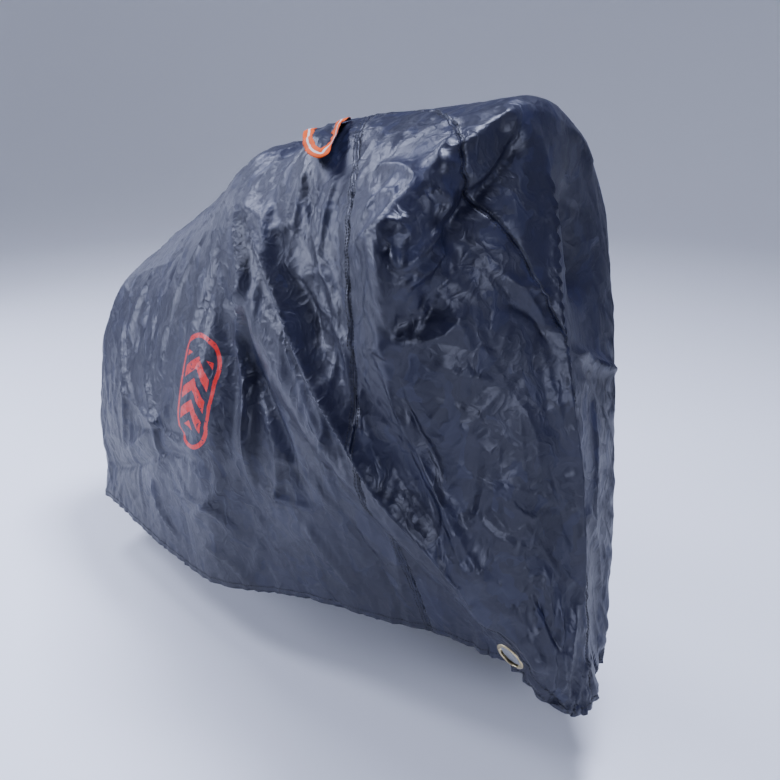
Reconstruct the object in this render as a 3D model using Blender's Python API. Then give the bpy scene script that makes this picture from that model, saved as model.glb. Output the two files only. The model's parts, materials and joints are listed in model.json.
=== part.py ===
"""A fitted scooter cover, as it hangs over a parked scooter: four cloth panels sewn along the
centre and along one joint on each side, a hem strip with a lock eyelet on each side of the front,
and two hooded air vents edged with reflective ribbon.

The cloth is lofted across sections that stand over the scooter from the rear hem to the front hem.
Each section runs from the right hem over the waist, the shoulder and the crest to the left hem.
The main folds are then pushed out of the cloth or into it along their own paths. +X points to the
scooter's front and +Y to its left. The tables give places above the ground, with x from the middle
of the wheelbase, and the finished cloth is moved so that the origin is the underside of the crown,
on the centre plane over the handlebar.
"""

import math
from collections import namedtuple

import bmesh
import bpy
import numpy as np
from mathutils import Matrix, Vector

# ---- driving dimensions, metres ----------------------------------------------------------------
CLOTH = 0.002  # thickness of the coated cloth with its seams and hem turnings
RIBBON = 0.001  # thickness of the reflective ribbon
SEAM_GAP = 0.0003  # clearance between pieces that are sewn or clamped together

FOLD_DEPTH = 0.12  # a fold stays off the far side of the cover, further than this from its path
FOLD_FADE = 0.08  # length over which a fold fades past the end of its path

# ---- the cloth's sections: one row for each, from the rear hem to the front hem -----------------
# at: share of the way to the front hem; crest: x, z on the centre plane; shoulder, waist and hem:
# x, distance from the centre plane, z.
Section = namedtuple("Section", "at crest shoulder waist hem")

RIGHT = [
    Section(0.00, (-0.905, 0.19), (-0.905, 0.050, 0.190), (-0.90, 0.100, 0.185), (-0.89, 0.140, 0.18)),
    Section(0.06, (-0.925, 0.38), (-0.915, 0.110, 0.330), (-0.90, 0.170, 0.255), (-0.865, 0.200, 0.165)),
    Section(0.12, (-0.915, 0.58), (-0.885, 0.135, 0.510), (-0.87, 0.205, 0.370), (-0.83, 0.250, 0.15)),
    Section(0.18, (-0.905, 0.755), (-0.860, 0.155, 0.695), (-0.82, 0.235, 0.465), (-0.75, 0.275, 0.165)),
    Section(0.24, (-0.790, 0.840), (-0.735, 0.165, 0.765), (-0.69, 0.265, 0.500), (-0.62, 0.290, 0.165)),
    Section(0.32, (-0.510, 1.010), (-0.465, 0.160, 0.895), (-0.48, 0.285, 0.540), (-0.43, 0.295, 0.160)),
    Section(0.40, (-0.290, 1.128), (-0.250, 0.155, 1.045), (-0.27, 0.285, 0.600), (-0.22, 0.285, 0.155)),
    Section(0.48, (-0.040, 1.235), (-0.010, 0.200, 1.120), (-0.02, 0.275, 0.620), (0.07, 0.230, 0.225)),
    Section(0.57, (0.200, 1.275), (0.215, 0.225, 1.110), (0.24, 0.255, 0.660), (0.345, 0.160, 0.26)),
    Section(0.62, (0.330, 1.295), (0.320, 0.260, 1.105), (0.34, 0.250, 0.660), (0.42, 0.140, 0.270)),
    Section(0.67, (0.455, 1.315), (0.415, 0.300, 1.100), (0.42, 0.230, 0.630), (0.49, 0.125, 0.265)),
    Section(0.72, (0.505, 1.190), (0.475, 0.240, 1.000), (0.485, 0.200, 0.580), (0.55, 0.115, 0.265)),
    Section(0.78, (0.545, 0.980), (0.530, 0.160, 0.840), (0.54, 0.165, 0.500), (0.60, 0.100, 0.245)),
    Section(0.84, (0.600, 0.780), (0.580, 0.120, 0.680), (0.59, 0.130, 0.410), (0.635, 0.090, 0.225)),
    Section(0.90, (0.630, 0.570), (0.615, 0.090, 0.490), (0.63, 0.105, 0.330), (0.650, 0.092, 0.222)),
    Section(0.95, (0.660, 0.360), (0.655, 0.060, 0.320), (0.66, 0.080, 0.265), (0.665, 0.085, 0.212)),
    Section(1.00, (0.700, 0.180), (0.700, 0.028, 0.183), (0.695, 0.055, 0.190), (0.68, 0.082, 0.20)),
]

LEFT = [
    Section(0.00, (-0.905, 0.19), (-0.905, 0.050, 0.190), (-0.90, 0.100, 0.185), (-0.89, 0.140, 0.18)),
    Section(0.06, (-0.925, 0.38), (-0.915, 0.110, 0.330), (-0.90, 0.170, 0.255), (-0.865, 0.200, 0.165)),
    Section(0.12, (-0.915, 0.58), (-0.885, 0.135, 0.510), (-0.88, 0.210, 0.380), (-0.83, 0.250, 0.15)),
    Section(0.18, (-0.905, 0.755), (-0.850, 0.155, 0.680), (-0.81, 0.235, 0.465), (-0.75, 0.275, 0.15)),
    Section(0.24, (-0.790, 0.840), (-0.725, 0.165, 0.750), (-0.68, 0.270, 0.500), (-0.62, 0.290, 0.15)),
    Section(0.32, (-0.510, 1.010), (-0.460, 0.160, 0.880), (-0.48, 0.290, 0.550), (-0.43, 0.300, 0.15)),
    Section(0.40, (-0.290, 1.128), (-0.250, 0.155, 1.040), (-0.27, 0.300, 0.590), (-0.22, 0.295, 0.16)),
    Section(0.48, (-0.040, 1.235), (-0.010, 0.200, 1.130), (-0.02, 0.295, 0.630), (0.07, 0.260, 0.19)),
    Section(0.57, (0.200, 1.275), (0.200, 0.250, 1.170), (0.24, 0.300, 0.680), (0.345, 0.230, 0.215)),
    Section(0.62, (0.330, 1.295), (0.295, 0.285, 1.165), (0.35, 0.300, 0.690), (0.43, 0.220, 0.22)),
    Section(0.67, (0.450, 1.315), (0.385, 0.305, 1.155), (0.44, 0.305, 0.680), (0.50, 0.200, 0.22)),
    Section(0.72, (0.500, 1.190), (0.440, 0.286, 1.015), (0.49, 0.285, 0.640), (0.555, 0.170, 0.22)),
    Section(0.78, (0.540, 0.980), (0.490, 0.240, 0.860), (0.53, 0.245, 0.560), (0.60, 0.140, 0.215)),
    Section(0.84, (0.595, 0.780), (0.550, 0.170, 0.690), (0.575, 0.190, 0.450), (0.635, 0.110, 0.21)),
    Section(0.90, (0.630, 0.570), (0.600, 0.115, 0.490), (0.615, 0.130, 0.340), (0.632, 0.100, 0.210)),
    Section(0.95, (0.660, 0.360), (0.635, 0.065, 0.310), (0.635, 0.085, 0.260), (0.637, 0.078, 0.205)),
    Section(1.00, (0.700, 0.180), (0.690, 0.020, 0.182), (0.670, 0.042, 0.188), (0.645, 0.062, 0.195)),
]

ACROSS = (-1.0, -0.66, -0.33, 0.0, 0.33, 0.66, 1.0)  # hem, waist, shoulder, crest and down again

# ---- the main folds: one row for each ----------------------------------------------------------
# path: points x, y, z along the fold; rise: how far it stands out of the cloth, or into it where
# negative, at the path's start, middle and end; left and right: its spread on each hand, seen from
# outside and looking along the path.
Fold = namedtuple("Fold", "name path rise left right")

FOLDS = [
    Fold("long diagonal",
         ((-0.14, -0.18, 1.10), (-0.08, -0.22, 0.95), (0.10, -0.24, 0.77), (0.30, -0.21, 0.63),
          (0.47, -0.17, 0.50), (0.60, -0.11, 0.34)), (0.012, 0.060, 0.026), 0.11, 0.030),
    Fold("hollow behind the diagonal",
         ((-0.13, -0.20, 1.00), (-0.08, -0.25, 0.80), (0.06, -0.26, 0.60)), (-0.02, -0.042, -0.01), 0.05, 0.07),
    Fold("second diagonal",
         ((0.26, -0.24, 0.80), (0.38, -0.21, 0.62), (0.50, -0.15, 0.42)), (0.004, 0.014, 0.006), 0.05, 0.03),
    Fold("third diagonal",
         ((0.02, -0.27, 0.55), (0.14, -0.25, 0.40), (0.24, -0.20, 0.27)), (0.004, 0.012, 0.008), 0.05, 0.04),
    Fold("rear upright",
         ((-0.20, -0.17, 1.10), (-0.19, -0.27, 0.75), (-0.18, -0.29, 0.42), (-0.17, -0.28, 0.16)),
         (0.020, 0.040, 0.016), 0.030, 0.10),
    Fold("rear peak",
         ((-0.19, -0.19, 1.06), (-0.25, -0.08, 1.14), (-0.28, 0.04, 1.15), (-0.28, 0.16, 1.06)),
         (0.014, 0.018, 0.006), 0.035, 0.07),
    Fold("hollow ahead of the peak",
         ((-0.04, -0.17, 1.14), (-0.09, -0.07, 1.20), (-0.11, 0.04, 1.20)), (-0.014, -0.026, -0.008), 0.07, 0.06),
    Fold("middle rear upright",
         ((-0.44, -0.20, 0.88), (-0.45, -0.28, 0.60), (-0.42, -0.29, 0.25)), (0.004, 0.014, 0.010), 0.05, 0.05),
    Fold("rear corner",
         ((-0.86, -0.15, 0.72), (-0.86, -0.21, 0.50), (-0.84, -0.25, 0.30), (-0.82, -0.26, 0.17)),
         (0.004, 0.012, 0.012), 0.05, 0.05),
    Fold("rear tuck",
         ((-0.66, -0.29, 0.36), (-0.76, -0.27, 0.27), (-0.86, -0.22, 0.24)), (-0.008, -0.014, -0.008), 0.05, 0.05),
    Fold("valley under the crest",
         ((0.47, -0.04, 1.28), (0.46, -0.12, 1.18), (0.45, -0.2, 1.04), (0.43, -0.25, 0.93)),
         (-0.008, -0.030, -0.012), 0.05, 0.05),
    Fold("right grip",
         ((0.30, -0.26, 1.11), (0.42, -0.29, 1.07), (0.48, -0.24, 0.99)), (0.004, 0.014, 0.004), 0.05, 0.05),
    Fold("front hollow",
         ((0.49, 0.14, 1.18), (0.53, 0.16, 0.98), (0.57, 0.13, 0.78)), (-0.02, -0.045, -0.015), 0.08, 0.08),
    Fold("left diagonal",
         ((-0.10, 0.22, 1.05), (0.06, 0.28, 0.80), (0.26, 0.29, 0.58), (0.50, 0.22, 0.36)),
         (0.008, 0.030, 0.012), 0.05, 0.12),
    Fold("left rear upright",
         ((-0.24, 0.18, 1.06), (-0.23, 0.28, 0.72), (-0.22, 0.29, 0.42), (-0.22, 0.29, 0.17)),
         (0.004, 0.025, 0.020), 0.10, 0.04),
]


def spline(knots, points, places):
    """Reads a smooth curve through points at knots, at each of the places."""
    knots = np.asarray(knots, float)
    points = np.asarray(points, float)
    slopes = np.gradient(points, knots, axis=0)
    span = np.clip(np.searchsorted(knots, places, side="right") - 1, 0, len(knots) - 2)
    shape = (-1,) + (1,) * (points.ndim - 1)
    width = (knots[span + 1] - knots[span]).reshape(shape)
    x = (places - knots[span]).reshape(shape) / width
    start = points[span] * (1 + 2 * x) * (1 - x) ** 2 + slopes[span] * width * x * (1 - x) ** 2
    end = points[span + 1] * x**2 * (3 - 2 * x) + slopes[span + 1] * width * x**2 * (x - 1)
    return start + end


def section_points(right, left):
    """The seven points of a section, from the right hem over the crest to the left hem."""
    crest = (right.crest[0], 0.0, right.crest[1])
    near = [(x, -y, z) for x, y, z in (right.hem, right.waist, right.shoulder)]
    return near + [crest, left.shoulder, left.waist, left.hem]


def loft(along, across):
    """The smooth cloth, before its folds. along and across have one value for each grid point."""
    lines = np.array([section_points(r, l) for r, l in zip(RIGHT, LEFT)], float)
    sections = spline([r.at for r in RIGHT], lines, along.ravel())
    points = [spline(ACROSS, section, [share])[0] for section, share in zip(sections, across.ravel())]
    return np.array(points).reshape(*across.shape, 3)


def cloth_normals(points):
    """Unit normals of a grid of points, from the mean of the faces that meet at each."""
    along = np.diff(points, axis=0)
    across = np.diff(points, axis=1)
    faces = np.cross(along[:, :-1] + along[:, 1:], across[:-1] + across[1:])
    padded = np.pad(faces, ((1, 1), (1, 1), (0, 0)))
    total = padded[:-1, :-1] + padded[1:, :-1] + padded[:-1, 1:] + padded[1:, 1:]
    return total / np.linalg.norm(total, axis=2, keepdims=True)


def fold_height(points, normals, fold):
    """How far one fold lifts each point of the cloth, fading towards both ends of its path."""
    count = 144
    share = np.linspace(0, 1, count)
    path = spline(np.linspace(0, 1, len(fold.path)), fold.path, share)
    heading = np.gradient(path, axis=0)
    heading /= np.linalg.norm(heading, axis=1, keepdims=True)
    nearest = np.linalg.norm(points[:, :, None] - path, axis=3).argmin(axis=2)
    offset = points - path[nearest]
    sideways = np.cross(normals, heading[nearest])
    sideways /= np.linalg.norm(sideways, axis=2, keepdims=True)
    reach = np.sum(offset * sideways, axis=2)
    depth = np.sum(offset * normals, axis=2)
    past = np.sum(offset * heading[nearest], axis=2)
    spread = np.where(reach > 0, fold.left, fold.right)
    shape = np.exp(-((reach / spread) ** 2) - (depth / FOLD_DEPTH) ** 2)
    ended = (nearest == 0) | (nearest == count - 1)
    shape *= np.where(ended, np.exp(-((past / FOLD_FADE) ** 2)), 1.0)
    return spline((0.0, 0.5, 1.0), fold.rise, share)[nearest] * shape


def fold_cloth(points):
    """Puts every fold into the smooth cloth."""
    normals = cloth_normals(points)
    height = sum(fold_height(points, normals, fold) for fold in FOLDS)
    return points + normals * height[:, :, None]


# ---- the grid that the panels share -------------------------------------------------------------
CROWN = 0.57  # share along the cover of its crown, over the handlebar
SIDE_SEAM = 0.515  # share along the cover where the side seams leave the centre seam
VENT_START = 0.405  # share along the cover from which the rows stand closer, for the vents
BEND_START = 0.30  # share along the cover from which the rows bow forward
BEND_END = 0.85  # share along the cover where they lie straight again, ahead of the side seam
REAR_ROWS = 20
VENT_ROWS = 9
FRONT_ROWS = 31
STRIP = 0.21  # the hem strip's share of the way from the hem to the centre seam
STRIP_COLUMNS = 6
RIGHT_COLUMNS = 24  # columns between the hem strip and the centre seam
LEFT_COLUMNS = 11

# where the centre seam runs: share along the cover, and its place across, negative to the right
CENTRE_SEAM = ((0.0, 0.0), (0.50, 0.0), (0.57, 0.0), (0.62, -0.11), (0.68, -0.17), (0.74, -0.12),
               (0.80, -0.03), (0.86, 0.0), (1.0, 0.0))

# how far the side seam runs ahead of its place at the crown: distance across, share along the cover
SIDE_BEND = ((0.0, 0.0), (0.12, 0.022), (0.33, 0.080), (0.50, 0.100), (0.66, 0.107), (0.85, 0.098),
             (1.0, 0.085))


def bent(along, across):
    """Each grid point's share along the cover, with the rows bowed forward beside the side seam."""
    rise = np.clip((along - BEND_START) / (SIDE_SEAM - BEND_START), 0, 1)
    fall = np.clip((BEND_END - along) / (BEND_END - SIDE_SEAM), 0, 1)
    nearness = rise**2 * (3 - 2 * rise) * fall**2 * (3 - 2 * fall)
    lead = spline([a for a, _ in SIDE_BEND], [s for _, s in SIDE_BEND], np.abs(across).ravel())
    return along[:, None] + nearness[:, None] * lead.reshape(across.shape)


class Cloth:
    """The folded cloth on one grid, with rows along the cover and columns across it."""

    def __init__(self):
        """Spreads the grid, lofts and folds it, and settles the cloth around each eyelet."""
        rear = np.linspace(0, VENT_START, REAR_ROWS + 1)
        vents = np.linspace(VENT_START, SIDE_SEAM, VENT_ROWS + 1)[1:]
        front = np.linspace(SIDE_SEAM, 1, FRONT_ROWS + 1)[1:]
        along = np.concatenate([rear, vents, front])
        seam = spline([s for s, _ in CENTRE_SEAM], [t for _, t in CENTRE_SEAM], along)
        strip = np.linspace(0, STRIP, STRIP_COLUMNS + 1)
        right = np.concatenate([strip, np.linspace(STRIP, 1, RIGHT_COLUMNS + 1)[1:]])
        left = np.concatenate([strip, np.linspace(STRIP, 1, LEFT_COLUMNS + 1)[1:]])[::-1]
        across = np.hstack([-1 + np.outer(seam + 1, right), 1 - np.outer(1 - seam, left[1:])])
        self.points = fold_cloth(loft(bent(along, across), across))
        self.side_row = REAR_ROWS + VENT_ROWS
        self.last_row = len(along) - 1
        self.seam_column = STRIP_COLUMNS + RIGHT_COLUMNS
        self.last_column = across.shape[1] - 1
        for eyelet in EYELETS:
            self.settle(eyelet)
        self.normals = cloth_normals(self.points)
        crown = loft(np.array([[CROWN]]), np.array([[0.0]]))[0, 0]
        self.origin = crown - np.array([0.0, 0.0, CLOTH / 2])
        self.points -= self.origin

    def settle(self, eyelet):
        """Lays the cloth flat around an eyelet, and eases it back into its shape further out."""
        offset = self.points - np.array(eyelet.centre)
        facing = np.array(eyelet.facing) / np.linalg.norm(eyelet.facing)
        height = offset @ facing
        radius = np.linalg.norm(offset - height[:, :, None] * facing, axis=2)
        share = np.clip((radius - FLAT_RADIUS) / (EASED_RADIUS - FLAT_RADIUS), 0, 1)
        keep = np.where(np.abs(height) < EASED_RADIUS, share * share * (3 - 2 * share), 1)
        self.points -= (height * (1 - keep))[:, :, None] * facing

    def at(self, row, column, lift):
        """The place at a fractional row and column, raised off the cloth by lift."""
        i = min(int(row), self.last_row - 1)
        j = min(int(column), self.last_column - 1)
        a = row - i
        b = column - j
        corners = (((1 - a) * (1 - b), i, j), (a * (1 - b), i + 1, j),
                   ((1 - a) * b, i, j + 1), (a * b, i + 1, j + 1))
        return sum(w * (self.points[r, c] + lift * self.normals[r, c]) for w, r, c in corners)


# ---- the eyelets --------------------------------------------------------------------------------
Eyelet = namedtuple("Eyelet", "name centre facing")

EYELETS = [
    Eyelet("right_eyelet", (0.583, -0.122, 0.299), (0.00, -0.92, -0.39)),
    Eyelet("left_eyelet", (0.587, 0.153, 0.256), (0.62, 0.76, -0.18)),
]
EYELET_BORE = 0.0250  # radius of the open hole
EYELET_BARREL = 0.0016  # wall of the barrel through the cloth
EYELET_RADIUS = 0.0320  # outer radius of both flanges
EYELET_FLANGE = 0.0021  # height of a flange at its crown
FLAT_RADIUS = 0.046  # the cloth is flat this far from an eyelet's middle
EASED_RADIUS = 0.120  # and has its own shape again here

# ---- the vents ----------------------------------------------------------------------------------
# side: -1 to the right of the centre seam, 1 to the left; first and last: rows at the ends of the
# hood's sewn edge; top: columns from the centre seam to that edge; drop: columns from it to the lip;
# mouth: how far the middle of the lip stands off the cloth.
Vent = namedtuple("Vent", "label side first last top drop mouth")

VENTS = [
    Vent("right", -1, REAR_ROWS + 4.4, REAR_ROWS + 7.5, 2, 5.8, 0.030),
    Vent("left", 1, REAR_ROWS + 0.2, REAR_ROWS + 3.8, 1, 2.4, 0.010),
]
VENT_RIPPLE = 0.006  # waves along the lip
VENT_RINGS = (0.0, 0.30, 0.60, 0.84, 0.92, 1.0)  # from the sewn edge to the lip
RIBBON_RINGS = 3  # the last rings, which the ribbon covers
VENT_POINTS = 19  # points along the lip


def finish(name, colour, roughness, metallic):
    """A plain Principled material."""
    material = bpy.data.materials.new(name)
    material.use_nodes = True
    shader = material.node_tree.nodes["Principled BSDF"]
    shader.inputs["Base Color"].default_value = (*colour, 1.0)
    shader.inputs["Roughness"].default_value = roughness
    shader.inputs["Metallic"].default_value = metallic
    return material


def add_object(name, mesh, material):
    """Makes a named object of a bmesh and shades it smooth up to its edges."""
    data = bpy.data.meshes.new(name)
    mesh.to_mesh(data)
    mesh.free()
    data.materials.append(material)
    data.shade_smooth()
    data.set_sharp_from_angle(angle=math.radians(40))
    piece = bpy.data.objects.new(name, data)
    bpy.context.scene.collection.objects.link(piece)
    return piece


def point_outwards(mesh):
    """Turns every face of a closed bmesh outwards."""
    bmesh.ops.recalc_face_normals(mesh, faces=mesh.faces[:])
    if mesh.calc_volume(signed=True) < 0:
        bmesh.ops.reverse_faces(mesh, faces=mesh.faces[:])


def sheet_solid(name, points, normals, thickness, material):
    """A closed solid of even thickness on both sides of a grid of points."""
    rows, columns = points.shape[:2]
    mesh = bmesh.new()
    bmesh.ops.create_grid(mesh, x_segments=rows - 1, y_segments=columns - 1, size=1)
    place = mesh.verts.layers.int.new("place")
    for vert in mesh.verts:
        row = round((vert.co.x + 1) / 2 * (rows - 1))
        column = round((vert.co.y + 1) / 2 * (columns - 1))
        vert[place] = row * columns + column
    raised = bmesh.ops.extrude_face_region(mesh, geom=mesh.faces[:])
    outer = {item for item in raised["geom"] if isinstance(item, bmesh.types.BMVert)}
    flat_points = points.reshape(-1, 3)
    flat_normals = normals.reshape(-1, 3)
    for vert in mesh.verts:
        side = 0.5 if vert in outer else -0.5
        vert.co = flat_points[vert[place]] + side * thickness * flat_normals[vert[place]]
    point_outwards(mesh)
    return add_object(name, mesh, material)


def trimmed(points, edges):
    """Draws the named edges of a grid back by half the seam's gap."""
    points = points.copy()
    sides = {
        "rear": (np.s_[0], np.s_[1]),
        "front": (np.s_[-1], np.s_[-2]),
        "first": (np.s_[:, 0], np.s_[:, 1]),
        "last": (np.s_[:, -1], np.s_[:, -2]),
    }
    for edge in edges:
        rim, inside = sides[edge]
        heading = np.gradient(points[rim], axis=0)
        heading /= np.linalg.norm(heading, axis=-1, keepdims=True)
        inward = points[inside] - points[rim]
        inward -= heading * np.sum(inward * heading, axis=-1, keepdims=True)
        inward /= np.linalg.norm(inward, axis=-1, keepdims=True)
        points[rim] += inward * SEAM_GAP / 2
    return points


def panel(name, cloth, rows, columns, edges, material):
    """One cloth panel: a block of the shared grid, with the edges that meet other pieces."""
    block = np.s_[rows[0]:rows[1] + 1, columns[0]:columns[1] + 1]
    points = trimmed(cloth.points[block], edges)
    return sheet_solid(name, points, cloth.normals[block], CLOTH, material)


def turned_to(facing, centre):
    """The place of a piece whose own +Z is turned to a direction and whose middle is at centre."""
    turn = Vector(facing).to_track_quat("Z", "Y").to_matrix().to_4x4()
    return Matrix.Translation(Vector(centre)) @ turn


def cut_eyelet_hole(strip, eyelet, centre):
    """Cuts an eyelet's hole through its hem strip with a hidden cylinder."""
    radius = EYELET_BORE + EYELET_BARREL + SEAM_GAP
    mesh = bmesh.new()
    bmesh.ops.create_cone(mesh, cap_ends=True, segments=32, radius1=radius, radius2=radius, depth=0.03)
    data = bpy.data.meshes.new(eyelet.name + "_cutter")
    mesh.to_mesh(data)
    mesh.free()
    cutter = bpy.data.objects.new(eyelet.name + "_cutter", data)
    bpy.context.scene.collection.objects.link(cutter)
    cutter.matrix_world = turned_to(eyelet.facing, centre)
    cutter.hide_render = True
    cutter.display_type = "WIRE"
    cut = strip.modifiers.new("eyelet hole", "BOOLEAN")
    cut.operation = "DIFFERENCE"
    cut.solver = "EXACT"
    cut.object = cutter


def eyelet_ring(eyelet, centre, material):
    """A two-part eyelet pressed together: a flange on each face of the cloth, and its barrel."""
    seat = CLOTH / 2 + SEAM_GAP
    crown = seat + EYELET_FLANGE
    wall = EYELET_BORE + EYELET_BARREL
    half = [
        (EYELET_BORE, 0.6 * crown),
        (EYELET_BORE + 0.3 * EYELET_BARREL, 0.9 * crown),
        (wall + 0.3 * (EYELET_RADIUS - wall), crown),
        (EYELET_RADIUS - 0.0008, seat + 0.5 * EYELET_FLANGE),
        (EYELET_RADIUS, seat),
        (wall, seat),
    ]
    profile = half + [(radius, -height) for radius, height in reversed(half)]
    mesh = bmesh.new()
    verts = [mesh.verts.new((radius, 0, height)) for radius, height in profile]
    edges = [mesh.edges.new((a, b)) for a, b in zip(verts, verts[1:] + verts[:1])]
    bmesh.ops.spin(mesh, geom=verts + edges, cent=(0, 0, 0), axis=(0, 0, 1), angle=math.tau,
                   steps=32, use_merge=True)
    point_outwards(mesh)
    ring = add_object(eyelet.name, mesh, material)
    ring.matrix_world = turned_to(eyelet.facing, centre)
    return ring


def vent_surface(cloth, vent):
    """The middle of a vent's hood: rows along its lip, columns from its sewn edge to the lip."""
    top = cloth.seam_column + vent.side * vent.top
    middle = (vent.first + vent.last) / 2
    half = (vent.last - vent.first) / 2
    seat = CLOTH + SEAM_GAP
    surface = []
    for share in np.linspace(0, 1, VENT_POINTS):
        swing = math.cos(math.pi * share)
        bow = math.sin(math.pi * share) ** 0.7
        lip_row = middle - 1.12 * half * math.copysign(abs(swing) ** 0.75, swing)
        top_row = vent.first + share * (vent.last - vent.first)
        lip_drop = 0.5 + (vent.drop - 0.5) * bow
        ripple = VENT_RIPPLE * math.sin(5 * math.pi * share) * bow
        line = []
        for ring in VENT_RINGS:
            row = top_row + (lip_row - top_row) * ring
            lift = seat + (0.004 + vent.mouth * bow + ripple) * ring**1.3
            line.append(cloth.at(row, top + vent.side * lip_drop * ring, lift))
        surface.append(line)
    surface = np.array(surface)
    return surface if vent.side > 0 else surface[:, ::-1]


def vent_pieces(cloth, vent, cloth_finish, ribbon_finish):
    """A vent's hood, and the ribbon that edges its lip."""
    hood = vent_surface(cloth, vent)
    normals = cloth_normals(hood)
    sheet_solid(vent.label + "_vent_hood", hood, normals, CLOTH, cloth_finish)
    lip = np.s_[:, -RIBBON_RINGS:] if vent.side > 0 else np.s_[:, :RIBBON_RINGS]
    lift = (CLOTH + RIBBON) / 2 + SEAM_GAP
    ribbon = hood[lip] + normals[lip] * lift
    sheet_solid(vent.label + "_vent_ribbon", ribbon, normals[lip], RIBBON, ribbon_finish)


def clear_scene():
    """Removes whatever the scene holds."""
    for item in list(bpy.data.objects):
        bpy.data.objects.remove(item, do_unlink=True)


def main():
    """Builds every piece of the cover."""
    clear_scene()
    navy = finish("navy coated taffeta", (0.022, 0.030, 0.055), 0.42, 0.0)
    orange = finish("orange reflective ribbon", (1.0, 0.20, 0.02), 0.5, 0.0)
    nickel = finish("nickel-plated steel", (0.75, 0.72, 0.66), 0.25, 1.0)
    cloth = Cloth()
    side, last = cloth.side_row, cloth.last_row
    seam, end = cloth.seam_column, cloth.last_column
    strip = STRIP_COLUMNS
    panel("right_rear_panel", cloth, (0, side), (0, seam), ("front", "last"), navy)
    panel("left_rear_panel", cloth, (0, side), (seam, end), ("front", "first"), navy)
    panel("right_front_panel", cloth, (side, last), (strip, seam), ("rear", "first", "last"), navy)
    panel("left_front_panel", cloth, (side, last), (seam, end - strip), ("rear", "first", "last"), navy)
    strips = [
        panel("right_hem_strip", cloth, (side, last), (0, strip), ("rear", "last"), navy),
        panel("left_hem_strip", cloth, (side, last), (end - strip, end), ("rear", "first"), navy),
    ]
    for hem_strip, eyelet in zip(strips, EYELETS):
        centre = np.array(eyelet.centre) - cloth.origin
        cut_eyelet_hole(hem_strip, eyelet, centre)
        eyelet_ring(eyelet, centre, nickel)
    for vent in VENTS:
        vent_pieces(cloth, vent, navy, orange)


main()
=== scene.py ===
"""The dressed scooter cover: coated taffeta over its draped form, with its seams, vents and eyelets.

The six cloth nodes of the frame are taken together as one cloth, refined, folded and crumpled, and
cut apart again along their seams. Places are metres in the frame's own axes: +X points to the
scooter's front, +Y to its left and +Z up, and the origin is under the crown.
"""

import json
import logging
import math
from collections.abc import Iterable, Sequence
from dataclasses import dataclass, field
from enum import Enum

import bmesh
import bpy
import numpy as np
from mathutils import Matrix, Vector, kdtree, noise
from mathutils.bvhtree import BVHTree

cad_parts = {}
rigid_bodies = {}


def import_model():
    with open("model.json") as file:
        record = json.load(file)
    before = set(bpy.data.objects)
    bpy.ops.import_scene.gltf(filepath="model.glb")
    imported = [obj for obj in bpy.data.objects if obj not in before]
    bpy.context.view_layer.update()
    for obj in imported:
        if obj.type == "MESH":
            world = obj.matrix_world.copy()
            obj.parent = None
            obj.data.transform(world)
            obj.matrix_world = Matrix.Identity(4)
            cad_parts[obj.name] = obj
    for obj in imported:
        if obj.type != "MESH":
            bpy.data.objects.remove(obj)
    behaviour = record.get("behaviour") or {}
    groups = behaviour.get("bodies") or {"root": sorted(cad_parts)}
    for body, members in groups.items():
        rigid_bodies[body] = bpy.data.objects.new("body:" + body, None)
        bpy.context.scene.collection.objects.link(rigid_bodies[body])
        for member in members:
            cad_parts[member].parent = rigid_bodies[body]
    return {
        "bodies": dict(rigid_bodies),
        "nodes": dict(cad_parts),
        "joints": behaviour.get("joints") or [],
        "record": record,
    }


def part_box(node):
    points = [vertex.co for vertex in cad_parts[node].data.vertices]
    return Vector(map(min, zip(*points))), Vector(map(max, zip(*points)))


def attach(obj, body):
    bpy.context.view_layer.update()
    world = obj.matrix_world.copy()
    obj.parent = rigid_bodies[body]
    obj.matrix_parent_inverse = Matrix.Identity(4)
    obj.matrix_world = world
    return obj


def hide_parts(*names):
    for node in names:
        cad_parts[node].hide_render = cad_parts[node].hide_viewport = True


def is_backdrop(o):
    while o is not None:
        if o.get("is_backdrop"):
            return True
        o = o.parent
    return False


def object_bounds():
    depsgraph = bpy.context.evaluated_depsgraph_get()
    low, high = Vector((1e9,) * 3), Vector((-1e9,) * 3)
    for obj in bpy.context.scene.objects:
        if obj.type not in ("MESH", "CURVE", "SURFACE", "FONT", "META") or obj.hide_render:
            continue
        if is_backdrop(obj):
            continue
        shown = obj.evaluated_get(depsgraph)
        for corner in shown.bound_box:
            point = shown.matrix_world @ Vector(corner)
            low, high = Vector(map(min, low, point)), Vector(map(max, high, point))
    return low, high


LOG = logging.getLogger("scooter_cover")
BODY = "root"
MM = 0.001
FRAME: dict = {}  # the loaded frame, filled by main


# ---- shader helpers -----------------------------------------------------------------------------
def linear(code: str) -> tuple[float, float, float, float]:
    """Turns an sRGB hex colour into linear values.

    Args:
        code: Six hex digits.

    Returns:
        Red, green, blue and an alpha of one.
    """
    parts = [int(code[i : i + 2], 16) / 255 for i in (0, 2, 4)]
    light = [c / 12.92 if c <= 0.04045 else ((c + 0.055) / 1.055) ** 2.4 for c in parts]
    return (light[0], light[1], light[2], 1.0)


def add_node(
    tree: bpy.types.NodeTree, kind: str, links: dict | None = None, **settings: object
) -> bpy.types.Node:
    """Adds one shader node.

    Args:
        tree: The material's node tree.
        kind: The node's type, without its ShaderNode prefix.
        links: Value or output socket for each input, by its name or number.
        settings: The node's own properties.

    Returns:
        The new node.
    """
    node = tree.nodes.new("ShaderNode" + kind)
    for name, value in settings.items():
        setattr(node, name, value)
    for name, value in (links or {}).items():
        if isinstance(value, bpy.types.NodeSocket):
            tree.links.new(value, node.inputs[name])
        else:
            node.inputs[name].default_value = value
    return node


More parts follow.
